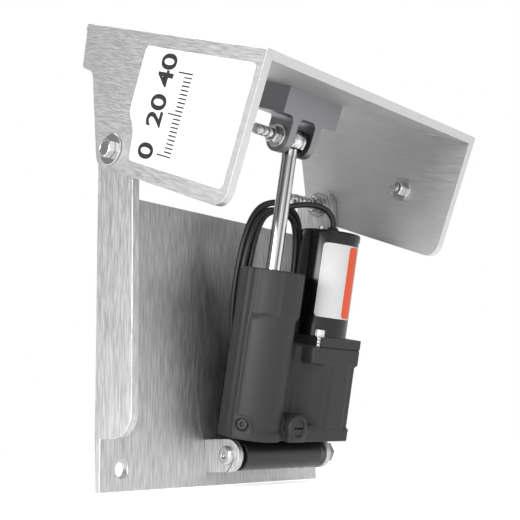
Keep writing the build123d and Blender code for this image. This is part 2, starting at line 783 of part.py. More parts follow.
# Gland screwed into the collar, and the wiper on it
with BuildPart() as rod_gland:
    gland_plane = ram_level(barrel_top - gland_depth)
    with BuildSketch(gland_plane) as gland_round:
        with Locations((ram_x, 0)):
            Circle(gland_radius - fit_clearance)
            Circle(rod_diameter / 2 + running_clearance, mode=Mode.SUBTRACT)
    extrude(amount=gland_depth)
    wiper_radius = rod_diameter / 2 + wiper_wall
    with BuildSketch(ram_level(barrel_top - wiper_height)) as wiper_seat:
        with Locations((ram_x, 0)):
            Circle(wiper_radius + fit_clearance)
    extrude(amount=wiper_height, mode=Mode.SUBTRACT)
keep(rod_gland, "rod_gland")

with BuildPart() as rod_wiper:
    with BuildSketch(ram_level(barrel_top - wiper_height)) as wiper_round:
        with Locations((ram_x, 0)):
            Circle(wiper_radius)
            Circle(rod_diameter / 2 + running_clearance, mode=Mode.SUBTRACT)
    extrude(amount=wiper_height)
keep(rod_wiper, "rod_wiper")

# Piston rod, its eye and bush, the piston, its seal and nut
rod_radius = rod_diameter / 2
rod_top = pinned_length - eye_radius + eye_socket
rod_base = piston_base - piston_nut_height - piston_nut_gap
with BuildPart() as piston_rod:
    with BuildSketch(ram_level(rod_base)) as rod_round:
        with Locations((ram_x, 0)):
            Circle(rod_radius)
    extrude(amount=rod_top - rod_base)
keep(piston_rod, "piston_rod")

eye_bore = clevis_radius + running_clearance
with BuildPart() as rod_eye:
    disc(across(eye_left, clevis_pin), eye_radius, eye_width)
    with BuildSketch(ram_level(pinned_length - eye_radius - eye_neck)) as eye_shank:
        with Locations((ram_x, 0)):
            Circle(eye_shank_radius)
    extrude(amount=eye_radius)
    disc(across(eye_left, clevis_pin), eye_bore + eye_bush_wall, eye_width, mode=Mode.SUBTRACT)
    with BuildSketch(ram_level(pinned_length - 2 * eye_radius)) as rod_socket:
        with Locations((ram_x, 0)):
            Circle(rod_radius + running_clearance)
    extrude(amount=eye_radius + eye_socket, mode=Mode.SUBTRACT)
keep(rod_eye, "rod_eye")

with BuildPart() as rod_eye_bush:
    disc(across(eye_left, clevis_pin), eye_bore + eye_bush_wall, eye_width, eye_bore)
keep(rod_eye_bush, "rod_eye_bush")

with BuildPart() as piston:
    with BuildSketch(ram_level(piston_base)) as piston_round:
        with Locations((ram_x, 0)):
            Circle(bore_radius - piston_clearance)
            Circle(rod_radius + running_clearance, mode=Mode.SUBTRACT)
    extrude(amount=piston_length)
    with BuildSketch(ram_level(piston_base + (piston_length - seal_width) / 2)) as seal_groove:
        with Locations((ram_x, 0)):
            Circle(bore_radius)
            Circle(bore_radius - seal_depth, mode=Mode.SUBTRACT)
    extrude(amount=seal_width, mode=Mode.SUBTRACT)
keep(piston, "piston")

with BuildPart() as piston_seal:
    with BuildSketch(ram_level(piston_base + (piston_length - seal_width) / 2)) as seal_round:
        with Locations((ram_x, 0)):
            Circle(bore_radius - running_clearance)
            Circle(bore_radius - seal_depth + running_clearance, mode=Mode.SUBTRACT)
    extrude(amount=seal_width)
keep(piston_seal, "piston_seal")

with BuildPart() as piston_nut:
    with BuildSketch(ram_level(piston_base - piston_nut_height)) as nut_outline:
        with Locations((ram_x, 0)):
            RegularPolygon(head_across * rod_radius, 6, major_radius=False)
            Circle(rod_radius + running_clearance, mode=Mode.SUBTRACT)
    extrude(amount=piston_nut_height)
keep(piston_nut, "piston_nut")

# Motor: end plate with a bearing boss, can, cap, screws
boss_outer = bearing_radius + bearing_wall
with BuildPart() as motor_flange:
    with BuildSketch(ram_level(end_plate_base)) as end_plate:
        with Locations(end_plate_centre):
            Rectangle(end_plate_right - end_plate_left, end_plate_front + end_plate_rear)
        fillet(end_plate.vertices(), radius=end_plate_corner)
        with Locations(*motor_screw_spots):
            Circle(motor_screw_diameter / 2 + fit_clearance, mode=Mode.SUBTRACT)
        with Locations(ring_centre):
            Circle(shaft_radius + running_clearance, mode=Mode.SUBTRACT)
    extrude(amount=end_plate_thickness)
    with BuildSketch(ram_level(motor_base)) as bearing_boss:
        with Locations(ring_centre):
            Circle(boss_outer)
            Circle(bearing_radius + fit_clearance, mode=Mode.SUBTRACT)
    extrude(amount=bearing_width)
keep(motor_flange, "motor_flange")

with BuildPart() as motor_housing:
    with BuildSketch(ram_level(motor_base)) as can_round:
        with Locations(ring_centre):
            Circle(motor_radius)
            Circle(motor_radius - motor_wall, mode=Mode.SUBTRACT)
    extrude(amount=motor_cap_base - motor_base)
keep(motor_housing, "motor_housing")

with BuildPart() as motor_top_cap:
    with BuildSketch(ram_level(motor_cap_base)) as cap_round:
        with Locations(ring_centre):
            Circle(motor_radius + cap_overhang)
    extrude(amount=motor_top - motor_cap_base)
    top_rim = motor_top_cap.edges().filter_by(GeomType.CIRCLE).sort_by(Axis.Z)[-1]
    fillet(top_rim, radius=cap_edge_radius)
    with BuildSketch(ram_level(motor_cap_base)) as cap_hollow:
        with Locations(ring_centre):
            Circle(motor_radius - motor_wall)
            Circle(boss_outer, mode=Mode.SUBTRACT)
    extrude(amount=motor_top - motor_cap_base - cap_plate, mode=Mode.SUBTRACT)
    with BuildSketch(ram_level(motor_cap_base)) as bearing_pocket:
        with Locations(ring_centre):
            Circle(bearing_radius + fit_clearance)
    extrude(amount=motor_top - motor_cap_base - cap_plate, mode=Mode.SUBTRACT)
keep(motor_top_cap, "motor_top_cap")

with BuildPart() as motor_screws:
    with BuildSketch(ram_level(motor_base)) as screw_flanges:
        with Locations(*motor_screw_spots):
            Circle(motor_screw_flange_radius)
    extrude(amount=motor_screw_flange)
    with BuildSketch(ram_level(motor_base + motor_screw_flange)) as screw_heads:
        with Locations(*motor_screw_spots):
            RegularPolygon(motor_screw_across * motor_screw_diameter / 2, 6, major_radius=False)
    extrude(amount=motor_screw_height * motor_screw_diameter)
    with BuildSketch(ram_level(motor_base)) as screw_shanks:
        with Locations(*motor_screw_spots):
            Circle(motor_screw_diameter / 2)
    extrude(amount=end_plate_base - motor_base - motor_screw_reach)
keep(motor_screws, "motor_screws")

# Armature with its shaft, bearings and field magnets
bearing_top_base = motor_top - cap_plate - bearing_width
core_base = (motor_base + motor_cap_base - armature_length) / 2 - brush_end_gap
with BuildPart() as armature:
    with BuildSketch(ram_level(gear_chamber_base + gear_end_gap)) as shaft_round:
        with Locations(ring_centre):
            Circle(shaft_radius)
    extrude(amount=bearing_top_base + bearing_width - side_gap - gear_chamber_base - gear_end_gap)
    with BuildSketch(ram_level(core_base)) as core_round:
        with Locations(ring_centre):
            Circle(armature_radius)
    extrude(amount=armature_length)
    with BuildSketch(ram_level(core_base + armature_length)) as commutator_round:
        with Locations(ring_centre):
            Circle(commutator_radius)
    extrude(amount=brush_end_gap + commutator_length)
keep(armature, "armature")

with BuildPart() as motor_bearings:
    for bearing_base in (motor_base, bearing_top_base):
        with BuildSketch(ram_level(bearing_base)) as bearing_round:
            with Locations(ring_centre):
                Circle(bearing_radius)
                Circle(shaft_radius + running_clearance, mode=Mode.SUBTRACT)
        extrude(amount=bearing_width)
keep(motor_bearings, "motor_bearings")

with BuildPart() as motor_magnets:
    with BuildSketch(ram_level(core_base - (magnet_height - armature_length) / 2)) as magnet_arcs:
        with Locations(ring_centre):
            Circle(motor_radius - motor_wall - fit_clearance)
            Circle(motor_radius - motor_wall - magnet_thickness, mode=Mode.SUBTRACT)
            gap_width = 2 * motor_radius * sin(radians((180 - magnet_angle) / 2))
            Rectangle(gap_width, 2 * motor_radius, mode=Mode.SUBTRACT)
    extrude(amount=magnet_height)
keep(motor_magnets, "motor_magnets")

# Gear pump: two equal gears in mesh, the driver on the motor's shaft
def gear(centre, first_tooth, bore):
    rise = gear_tip_radius - gear_root_radius
    half_pitch = (gear_module * pi / 2 - gear_backlash) / 2
    slope = tan(radians(tooth_flank_angle))
    half_tip = half_pitch - (gear_tip_radius - gear_pitch_radius) * slope * gear_tip_relief
    half_root = half_pitch + (gear_pitch_radius - gear_root_radius) * slope
    with BuildSketch(ram_level(gear_chamber_base + gear_end_gap)) as teeth_round:
        with Locations(centre):
            Circle(gear_root_radius + fit_clearance)
            with PolarLocations(gear_root_radius, gear_teeth, start_angle=first_tooth):
                Polygon((0, -half_root), (rise, -half_tip), (rise, half_tip), (0, half_root), align=None)
            Circle(bore, mode=Mode.SUBTRACT)
    extrude(teeth_round.sketch, amount=gear_width)


with BuildPart() as pump_drive_gear:
    gear(ring_centre, 90, shaft_radius + running_clearance)
keep(pump_drive_gear, "pump_drive_gear")

with BuildPart() as pump_idler_gear:
    gear(idler_centre, 90 + 180 / gear_teeth, idler_pin_radius + running_clearance)
keep(pump_idler_gear, "pump_idler_gear")

with BuildPart() as idler_pin:
    with BuildSketch(ram_level(gear_chamber_base - idler_pin_depth)) as pin_round:
        with Locations(idler_centre):
            Circle(idler_pin_radius)
    extrude(amount=idler_pin_depth + gear_width + gear_end_gap)
keep(idler_pin, "idler_pin")

# Manual release valve and filler plug, both with a slot
with BuildPart() as release_valve:
    disc(ram_front(valve_x, boss_front, valve_level), valve_radius, -valve_depth + gear_end_gap)
    with BuildSketch(ram_front(valve_x, boss_front, valve_level)) as valve_groove:
        Rectangle(2 * valve_radius, valve_slot)
    extrude(amount=-valve_slot_depth, mode=Mode.SUBTRACT)
keep(release_valve, "release_valve")

with BuildPart() as filler_plug:
    plug_plane = barrel_radial(plug_angle, barrel_radius + plug_stand, plug_level)
    disc(plug_plane, plug_radius, -plug_stand - plug_depth)
    with BuildSketch(plug_plane) as plug_groove:
        Rectangle(plug_slot_width, valve_slot)
    extrude(amount=-plug_slot_depth, mode=Mode.SUBTRACT)
keep(filler_plug, "filler_plug")

# Motor label: thin skin on the can, with a plain stripe on its right
def can_skin(angle_from, angle_to):
    rays = [angle_from, (angle_from + angle_to) / 2, angle_to]
    wedge = [(2 * motor_radius * cos(radians(a)), 2 * motor_radius * sin(radians(a))) for a in rays]
    with BuildSketch(ram_level(motor_label_base)) as skin_round:
        with Locations(ring_centre):
            Circle(motor_radius + running_clearance + label_thickness)
            Circle(motor_radius + running_clearance, mode=Mode.SUBTRACT)
            Polygon((0, 0), *wedge, align=None, mode=Mode.INTERSECT)
    extrude(skin_round.sketch, amount=motor_label_height)


with BuildPart() as motor_label:
    can_skin(motor_label_from, motor_label_to)
keep(motor_label, "motor_label")

with BuildPart() as motor_label_stripe:
    can_skin(motor_label_to, motor_stripe_to)
keep(motor_label_stripe, "motor_label_stripe")

# Cable grommet on the cap, tapering to the lead
with BuildPart() as cable_grommet:
    with BuildSketch(ram_level(motor_top)) as grommet_foot:
        with Locations((grommet_x, motor_back)):
            Circle(grommet_radius)
    with BuildSketch(ram_level(motor_top + grommet_height)) as grommet_tip:
        with Locations((grommet_x, motor_back)):
            Circle(cable_diameter / 2 + grommet_tip_wall)
    loft()
keep(cable_grommet, "cable_grommet")

# Lead from the grommet over to the coil, its points in the ram's axes: across, back, height
lead_points = (
    (grommet_x, motor_back, motor_top + grommet_height),
    (104.0, -1.0, 294.0),
    (99.9, 1.9, 303.8),
    (92.0, 7.5, 310.9),
    (80.7, 15.5, 313.3),
    (66.3, 25.7, 310.6),
    (52.8, 36.2, 305.0),
    (46.0, 41.0, 301.5),
)
lead_route = [ram_point(*point) for point in lead_points]
lead_radii = []
for before, here, after in zip(lead_route, lead_route[1:], lead_route[2:]):
    turn = (here - before).get_angle(after - here)
    shorter_run = min((here - before).length, (after - here).length)
    lead_radii.append(0.45 * shorter_run / tan(radians(turn / 2)))
print("lead radii", [round(radius, 1) for radius in lead_radii])
with BuildPart() as motor_cable:
    with BuildLine():
        lead_line = FilletPolyline(*lead_route, radius=lead_radii)
    with BuildSketch(Plane(origin=lead_route[0], z_dir=lead_route[1] - lead_route[0])) as lead_round:
        Circle(cable_diameter / 2)
    sweep(path=lead_line)
lead_length = lead_line.length
print("lead length", round(lead_length, 1), "volume over section times length",
      round(motor_cable.part.volume / (pi * (cable_diameter / 2) ** 2 * lead_length), 4))
keep(motor_cable, "motor_cable")

# Coil: one closed oval ring behind the barrel, the outer shape of its turns
coil_turn_radius = (coil_right - coil_left) / 2
coil_middle = (coil_left + coil_right) / 2
limb_low = coil_low + coil_turn_radius
limb_high = coil_high - coil_turn_radius
with BuildPart() as cable_coil:
    with BuildSketch(ram_level(limb_low)) as limb_rounds:
        with Locations((coil_left, coil_back), (coil_right, coil_back)):
            Circle(coil_bundle / 2)
    extrude(amount=limb_high - limb_low)
    for limb_end, bend in ((limb_high, -180), (limb_low, 180)):
        with BuildSketch(ram_level(limb_end)) as bend_round:
            with Locations((coil_left, coil_back)):
                Circle(coil_bundle / 2)
        bend_axis = Axis(ram_point(coil_middle, coil_back, limb_end), ram_level(0).y_dir * -1)
        revolve(axis=bend_axis, revolution_arc=bend)
keep(cable_coil, "cable_coil")

with BuildPart() as cable_tie:
    with BuildSketch(ram_level(tie_level)) as tie_round:
        with Locations((coil_right, coil_back)):
            Circle(coil_bundle / 2 + running_clearance + tie_thickness)
            Circle(coil_bundle / 2 + running_clearance, mode=Mode.SUBTRACT)
    extrude(amount=tie_width)
keep(cable_tie, "cable_tie")

# Connector on the lead's far end, standing in the coil's lower bend
connector_x = coil_middle + connector_offset
bend_rise = sqrt(coil_turn_radius ** 2 - connector_offset ** 2)
connector_base = limb_low - bend_rise + coil_bundle / 2 - connector_dip
with BuildPart() as cable_connector:
    with BuildSketch(ram_level(connector_base)) as connector_outline:
        with Locations((connector_x, coil_back)):
            Rectangle(connector_width, connector_thickness)
        fillet(connector_outline.vertices(), radius=connector_edge)
    extrude(amount=connector_length)
keep(cable_connector, "cable_connector")

print("pinned length", round(pinned_length, 2))
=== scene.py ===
import json
import math

import bmesh
import bpy
from mathutils import Matrix, Vector


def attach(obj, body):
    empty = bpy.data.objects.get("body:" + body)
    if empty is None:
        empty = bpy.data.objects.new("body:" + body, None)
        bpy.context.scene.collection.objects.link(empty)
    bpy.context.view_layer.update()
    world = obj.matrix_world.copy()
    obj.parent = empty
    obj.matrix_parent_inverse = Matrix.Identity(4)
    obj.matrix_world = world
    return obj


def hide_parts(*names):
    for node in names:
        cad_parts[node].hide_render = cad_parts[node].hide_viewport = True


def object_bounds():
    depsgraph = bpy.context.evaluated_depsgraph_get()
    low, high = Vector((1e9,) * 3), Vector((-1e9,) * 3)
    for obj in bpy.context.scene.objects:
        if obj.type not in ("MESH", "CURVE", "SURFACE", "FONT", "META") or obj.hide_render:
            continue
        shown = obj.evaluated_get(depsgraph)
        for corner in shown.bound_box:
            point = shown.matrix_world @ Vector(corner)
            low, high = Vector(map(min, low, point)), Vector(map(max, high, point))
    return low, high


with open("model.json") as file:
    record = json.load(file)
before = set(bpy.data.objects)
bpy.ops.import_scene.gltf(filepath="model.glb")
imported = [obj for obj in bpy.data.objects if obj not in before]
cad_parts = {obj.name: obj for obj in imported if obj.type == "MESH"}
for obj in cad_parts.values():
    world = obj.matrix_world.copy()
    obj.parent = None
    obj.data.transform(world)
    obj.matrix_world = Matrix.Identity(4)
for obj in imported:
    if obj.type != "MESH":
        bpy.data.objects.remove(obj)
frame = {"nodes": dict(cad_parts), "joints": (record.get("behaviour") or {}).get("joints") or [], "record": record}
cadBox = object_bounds()
record = frame["record"]
print("frame loaded")

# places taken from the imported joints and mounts, all in metres
joints = {joint["name"]: joint for joint in frame["joints"]}
mounts = {mount["name"]: mount for mount in record["mounts"]}
bodyOf = {node: body for body, nodes in record["behaviour"]["bodies"].items() for node in nodes}
tiltPivot = Vector(joints["bracket_tilt"]["pos_m"])
lowerPivot = Vector(joints["ram_swing"]["pos_m"])
ramUp = Vector(joints["rod_slide"]["axis"]).normalized()
ramBack = ramUp.cross(Vector((1, 0, 0))).normalized()
webOut = Vector(mounts["engine_face"]["axis"]).normalized()
webAlong = Vector((0, webOut.z, -webOut.y))
webDeep = -webOut
mm = 0.001


def ramPoint(x, back, height):
    return lowerPivot + Vector((x * mm, 0, 0)) + ramBack * back * mm + ramUp * height * mm


# outer corner of the bracket's web, measured from the tilt pivot
bracketSizes = {"pivotAlong": 202.5, "pivotDeep": 135.6}
webCorner = tiltPivot - webAlong * bracketSizes["pivotAlong"] * mm
webCorner -= webDeep * bracketSizes["pivotDeep"] * mm


def bracketPoint(x, along, deep):
    return webCorner + Vector((x * mm, 0, 0)) + webAlong * along * mm + webDeep * deep * mm


def linkedObject(name, data):
    obj = bpy.data.objects.new(name, data)
    bpy.context.scene.collection.objects.link(obj)
    return obj


# camera at the photograph's place
cameraValues = {
    "place": (-0.7660, -0.8111, -0.0782),
    "yaw": 46.50,
    "pitch": 11.64,
    "roll": -1.41,
    "lens": 61.89,
    "sensor": 36.0,
    "nearest": 0.01,
}


def makeCamera(values):
    data = bpy.data.cameras.new("studioCamera")
    data.lens = values["lens"]
    data.sensor_width = values["sensor"]
    data.clip_start = values["nearest"]
    camera = linkedObject("studioCamera", data)
    yaw, pitch, roll = (math.radians(values[name]) for name in ("yaw", "pitch", "roll"))
    forward = Vector((math.sin(yaw) * math.cos(pitch), math.cos(yaw) * math.cos(pitch), math.sin(pitch)))
    level = Vector((math.cos(yaw), -math.sin(yaw), 0))
    above = level.cross(forward)
    right = level * math.cos(roll) + above * math.sin(roll)
    up = above * math.cos(roll) - level * math.sin(roll)
    turn = Matrix((right, up, -forward)).transposed()
    camera.matrix_world = Matrix.Translation(values["place"]) @ turn.to_4x4()
    bpy.context.scene.camera = camera


makeCamera(cameraValues)
bpy.context.scene.view_settings.view_transform = "Standard"
print("camera placed")

# world, floor and lamps
studioValues = {
    "floorDrop": 0.0012,
    "floorSize": 30.0,
    "floorColour": (0.86, 0.86, 0.86, 1),
    "floorRough": 0.9,
    "floorGlow": 0.62,
    "roomLow": (0.33, 0.33, 0.335, 1),
    "roomHigh": (0.72, 0.725, 0.73, 1),
    "roomAim": (0.45, -0.60, 0.35),
    "roomFrom": -0.6,
    "roomTo": 0.6,
    "backdropAim": (0.69, 0.72, 0.0),
    "backdropFrom": 0.45,
    "backdropTo": 0.80,
    "lamps": {
        "keyLamp": {"place": (-1.3, -2.2, 1.5), "aim": (0, -0.1, 0.1), "size": 1.6, "power": 18},
        "leftLamp": {"place": (-2.3, -0.3, 0.25), "aim": (0, -0.1, 0.1), "size": 1.5, "power": 68},
        "topLamp": {"place": (-0.5, 0.5, 2.4), "aim": (0, -0.1, 0.1), "size": 1.4, "power": 16},
    },
}


def mathNode(tree, operation, first, second):
    node = tree.nodes.new("ShaderNodeMath")
    node.operation = operation
    for index, value in enumerate((first, second)):
        if isinstance(value, (int, float)):
            node.inputs[index].default_value = value
        else:
            tree.links.new(value, node.inputs[index])
    return node.outputs[0]


def seenFactor(tree):
    # 1 for the rays that show the background: camera rays, then mirror and glass rays
    path = tree.nodes.new("ShaderNodeLightPath")
    mirrored = mathNode(tree, "MAXIMUM", path.outputs["Is Glossy Ray"], path.outputs["Is Transmission Ray"])
    return path.outputs["Is Camera Ray"], mirrored


def facing(tree, direction, low, high):
    # 0 to 1 as the ray's direction turns towards the given one
    coord = tree.nodes.new("ShaderNodeTexCoord")
    dot = tree.nodes.new("ShaderNodeVectorMath")
    dot.operation = "DOT_PRODUCT"
    dot.inputs[1].default_value = direction
    tree.links.new(coord.outputs["Generated"], dot.inputs[0])
    ranger = tree.nodes.new("ShaderNodeMapRange")
    ranger.interpolation_type = "SMOOTHSTEP"
    ranger.inputs["From Min"].default_value = low
    ranger.inputs["From Max"].default_value = high
    tree.links.new(dot.outputs["Value"], ranger.inputs["Value"])
    return ranger.outputs["Result"]


def lightWorld(values):
    world = bpy.data.worlds.new("studioRoom")
    bpy.context.scene.world = world
    world.use_nodes = True
    tree = world.node_tree
    tree.nodes.clear()
    out = tree.nodes.new("ShaderNodeOutputWorld")
    white = tree.nodes.new("ShaderNodeBackground")
    white.inputs["Color"].default_value = (1, 1, 1, 1)
    room = tree.nodes.new("ShaderNodeBackground")
    ramp = tree.nodes.new("ShaderNodeValToRGB")
    ramp.color_ramp.elements[0].color = values["roomLow"]
    ramp.color_ramp.elements[1].color = values["roomHigh"]
    roomLight = facing(tree, values["roomAim"], values["roomFrom"], values["roomTo"])
    tree.links.new(roomLight, ramp.inputs["Fac"])
    tree.links.new(ramp.outputs["Color"], room.inputs["Color"])
    camera, mirrored = seenFactor(tree)
    backdrop = facing(tree, values["backdropAim"], values["backdropFrom"], values["backdropTo"])
    seen = mathNode(tree, "MAXIMUM", camera, mathNode(tree, "MULTIPLY", mirrored, backdrop))
    mix = tree.nodes.new("ShaderNodeMixShader")
    tree.links.new(seen, mix.inputs["Fac"])
    tree.links.new(room.outputs[0], mix.inputs[1])
    tree.links.new(white.outputs[0], mix.inputs[2])
    tree.links.new(mix.outputs[0], out.inputs["Surface"])


def makeFloor(values):
    half = values["floorSize"] / 2
    level = cadBox[0].z - values["floorDrop"]
    corners = [(-half, -half, level), (half, -half, level), (half, half, level), (-half, half, level)]
    mesh = bpy.data.meshes.new("paleFloor")
    mesh.from_pydata(corners, [], [(0, 1, 2, 3)])
    floor = linkedObject("paleFloor", mesh)
    material = bpy.data.materials.new("palePaper")
    material.use_nodes = True
    tree = material.node_tree
    shader = tree.nodes["Principled BSDF"]
    shader.inputs["Base Color"].default_value = values["floorColour"]
    shader.inputs["Roughness"].default_value = values["floorRough"]
    shader.inputs["Specular IOR Level"].default_value = 0.0
    shader.inputs["Emission Color"].default_value = (1, 1, 1, 1)
    camera, mirrored = seenFactor(tree)
    glow = mathNode(tree, "MULTIPLY", mathNode(tree, "MAXIMUM", camera, mirrored), values["floorGlow"])
    tree.links.new(glow, shader.inputs["Emission Strength"])
    mesh.materials.append(material)


def hangLamps(values):
    for name, lamp in values["lamps"].items():
        data = bpy.data.lights.new(name, "AREA")
        data.shape = "DISK"
        data.size = lamp["size"]
        data.energy = lamp["power"]
        light = linkedObject(name, data)
        light.location = lamp["place"]
        aim = Vector(lamp["aim"]) - Vector(lamp["place"])
        light.rotation_euler = aim.to_track_quat("-Z", "Y").to_euler()


lightWorld(studioValues)
makeFloor(studioValues)
hangLamps(studioValues)
print("studio lit")


# materials
noiseSpan = (0.3, 0.7)
rampSpan = (0.35, 0.65)


def plainFinish(name, colour, roughness, metallic=0.0, specular=0.5):
    material = bpy.data.materials.new(name)
    material.use_nodes = True
    shader = material.node_tree.nodes["Principled BSDF"]
    shader.inputs["Base Color"].default_value = (*colour, 1)
    shader.inputs["Roughness"].default_value = roughness
    shader.inputs["Metallic"].default_value = metallic
    shader.inputs["Specular IOR Level"].default_value = specular
    return material, shader


def grainNoise(material, stretch, scale, detail=4.0, turn=(0, 0, 0)):
    # noise stretched along the piece's own axes, by a share on each, and turned
    tree = material.node_tree
    coord = tree.nodes.new("ShaderNodeTexCoord")
    mapping = tree.nodes.new("ShaderNodeMapping")
    mapping.vector_type = "TEXTURE"
    mapping.inputs["Scale"].default_value = [1 / share for share in stretch]
    mapping.inputs["Rotation"].default_value = turn
    noise = tree.nodes.new("ShaderNodeTexNoise")
    noise.inputs["Scale"].default_value = scale
    noise.inputs["Detail"].default_value = detail
    tree.links.new(coord.outputs["Object"], mapping.inputs["Vector"])
    tree.links.new(mapping.outputs["Vector"], noise.inputs["Vector"])
    return noise


def spread(material, source, low, high):
    tree = material.node_tree
    ranger = tree.nodes.new("ShaderNodeMapRange")
    ranger.inputs["From Min"].default_value = noiseSpan[0]
    ranger.inputs["From Max"].default_value = noiseSpan[1]
    ranger.inputs["To Min"].default_value = low
    ranger.inputs["To Max"].default_value = high
    tree.links.new(source.outputs["Fac"], ranger.inputs["Value"])
    return ranger


def tint(material, shader, source, dark, light):
    tree = material.node_tree
    ramp = tree.nodes.new("ShaderNodeValToRGB")
    for element, position, colour in zip(ramp.color_ramp.elements, rampSpan, (dark, light)):
        element.position = position
        element.color = (*colour, 1)
    tree.links.new(source.outputs["Fac"], ramp.inputs["Fac"])
    tree.links.new(ramp.outputs["Color"], shader.inputs["Base Color"])


def roughen(material, shader, source, strength, distance):
    tree = material.node_tree
    bump = tree.nodes.new("ShaderNodeBump")
    bump.inputs["Strength"].default_value = strength
    bump.inputs["Distance"].default_value = distance
    tree.links.new(source.outputs["Fac"], bump.inputs["Height"])
    tree.links.new(bump.outputs["Normal"], shader.inputs["Normal"])


plateValues = {
    "colour": (0.60, 0.605, 0.61),
    "rough": 0.38,
    "dark": (0.46, 0.46, 0.46),
    "light": (0.68, 0.68, 0.68),
    "bracketDark": (0.56, 0.56, 0.56),
    "bracketLight": (0.605, 0.605, 0.605),
    "roughLow": 0.39,
    "roughHigh": 0.57,
    "fineStretch": (900, 900, 60),
    "fineDetail": 6.0,
    "blotchStretch": (520, 520, 34),
    "blotchDetail": 5.0,
    "depth": 0.35,
    "bracketDepth": 0.05,
    "grainHeight": 0.0005,
}


def brushedPlate(name, turn, dark, light, depth):
    # grain runs along the piece's own height, by a stretched noise
    material, shader = plainFinish(name, plateValues["colour"], plateValues["rough"], metallic=1.0)
    grain = grainNoise(material, plateValues["fineStretch"], 1.0, plateValues["fineDetail"], turn)
    blotch = grainNoise(material, plateValues["blotchStretch"], 1.0, plateValues["blotchDetail"], turn)
    tint(material, shader, blotch, plateValues[dark], plateValues[light])
    rough = spread(material, grain, plateValues["roughLow"], plateValues["roughHigh"])
    material.node_tree.links.new(rough.outputs["Result"], shader.inputs["Roughness"])
    roughen(material, shader, grain, plateValues[depth], plateValues["grainHeight"])
    return material


# dark and light are the colours of painted reflection bands along the rod
rodValues = {
    "colour": (0.62, 0.62, 0.63),
    "rough": 0.10,
    "stretch": (210, 210, 0.4),
    "detail": 1.5,
    "dark": (0.09, 0.09, 0.095),
    "light": (0.74, 0.74, 0.75),
}


def polishedRod(values):
    # dark and light bands run along the rod: painted reflection
    material, shader = plainFinish("polishedRod", values["colour"], values["rough"], metallic=1.0)
    turn = (math.atan2(-ramUp.y, ramUp.z), 0, 0)
    paintedReflectionBands = grainNoise(material, values["stretch"], 1.0, values["detail"], turn)
    tint(material, shader, paintedReflectionBands, values["dark"], values["light"])
    return material


castFinishValues = {
    "colour": (0.0175, 0.0175, 0.0185),
    "rough": 0.60,
    "poreScale": 900,
    "poreDetail": 3.0,
    "depth": 0.18,
    "poreHeight": 0.0003,
}


def castBlack(values):
    material, shader = plainFinish("castingBlack", values["colour"], values["rough"])
    pores = grainNoise(material, (1, 1, 1), values["poreScale"], values["poreDetail"])
    roughen(material, shader, pores, values["depth"], values["poreHeight"])
    return material


# plain finishes: name, colour, roughness, metallic and specular
plainValues = {
    "machined_block": ("machinedBlock", (0.25, 0.25, 0.26), 0.42, 1.0),
    "stainless": ("stainlessSteel", (0.56, 0.56, 0.555), 0.24, 1.0),
    "gear_steel": ("machinedSteel", (0.5, 0.5, 0.5), 0.35, 1.0),
    "bronze": ("sinteredBronze", (0.55, 0.38, 0.2), 0.45, 1.0),
    "copper_winding": ("copperWinding", (0.5, 0.22, 0.1), 0.4, 0.8),
    "magnet": ("ferriteMagnet", (0.08, 0.08, 0.085), 0.6),
    "nylon": ("blackNylon", (0.02, 0.02, 0.02), 0.5),
    "rubber": ("softRubber", (0.015, 0.015, 0.016), 0.55),
    "cable_sheath": ("cableSheath", (0.012, 0.012, 0.013), 0.42),
    "connector_plastic": ("connectorPlastic", (0.02, 0.02, 0.02), 0.45),
    "black_paint": ("glossBlackPaint", (0.003, 0.003, 0.0035), 0.20, 0.0, 0.36),
    "black_tube": ("tubeBlackPaint", (0.011, 0.011, 0.012), 0.34),
    "black_gland": ("glandBlack", (0.03, 0.03, 0.032), 0.4),
    "label_ink": ("labelInk", (0.012, 0.012, 0.012), 0.45),
    "label_white": ("whiteFilm", (0.68, 0.68, 0.68), 0.5),
    "label_orange": ("orangeFilm", (0.80, 0.085, 0.012), 0.45),
    # darker copy of stainless steel: painted shade on the lower pivot nut and washers
    "shadeDarkenedSteel": ("shadeDarkenedSteel", (0.26, 0.26, 0.26), 0.45, 1.0),
}
webTurn = math.atan2(webAlong.z, webAlong.y)
finishes = {key: plainFinish(*values)[0] for key, values in plainValues.items()}
finishes["brushed_plate"] = brushedPlate("brushedPlate", (0, 0, 0), "dark", "light", "depth")
finishes["bracketPlate"] = brushedPlate("brushedBracketPlate", (webTurn - math.pi / 2, 0, 0),
                                        "bracketDark", "bracketLight", "bracketDepth")
finishes["polished_rod"] = polishedRod(rodValues)
finishes["black_casting"] = castBlack(castFinishValues)
slotOf = {subpart["node"]: subpart["material_slot"] for subpart in record["subparts"]}
# the lower pivot nut and washers take the darker steel copy, painted shade
ownFinish = {
    "tilt_bracket": "bracketPlate",
    "lower_pivot_nut": "shadeDarkenedSteel",
    "lower_pivot_washers": "shadeDarkenedSteel",
}
for node, obj in frame["nodes"].items():
    obj.data.materials.clear()
    obj.data.materials.append(finishes[ownFinish.get(node, slotOf[node])])
print("finishes made")


# helpers for pieces that stand for nodes of the frame
smoothAngles = {"plate": 35, "turned": 28, "thread": 50, "film": 30}
bevelValues = {"segments": 3, "limit": 32, "mergeReach": 2e-6, "flatAngle": 0.4}


def pieceFromMesh(name, mesh, body, slotName, *nodes, finish=None):
    piece = linkedObject(name, mesh)
    mesh.materials.clear()
    mesh.materials.append(finish or finishes[slotName])
    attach(piece, body)
    if nodes:
        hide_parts(*nodes)
    return piece


def softEdges(mesh, angle):
    mesh.shade_smooth()
    mesh.set_sharp_from_angle(angle=math.radians(angle))


def mergedMesh(node):
    mesh = frame["nodes"][node].data.copy()
    work = bmesh.new()
    work.from_mesh(mesh)
    bmesh.ops.remove_doubles(work, verts=work.verts, dist=bevelValues["mergeReach"])
    bmesh.ops.dissolve_limit(work, angle_limit=math.radians(bevelValues["flatAngle"]),
                             verts=work.verts, edges=work.edges)
    work.to_mesh(mesh)
    work.free()
    return mesh


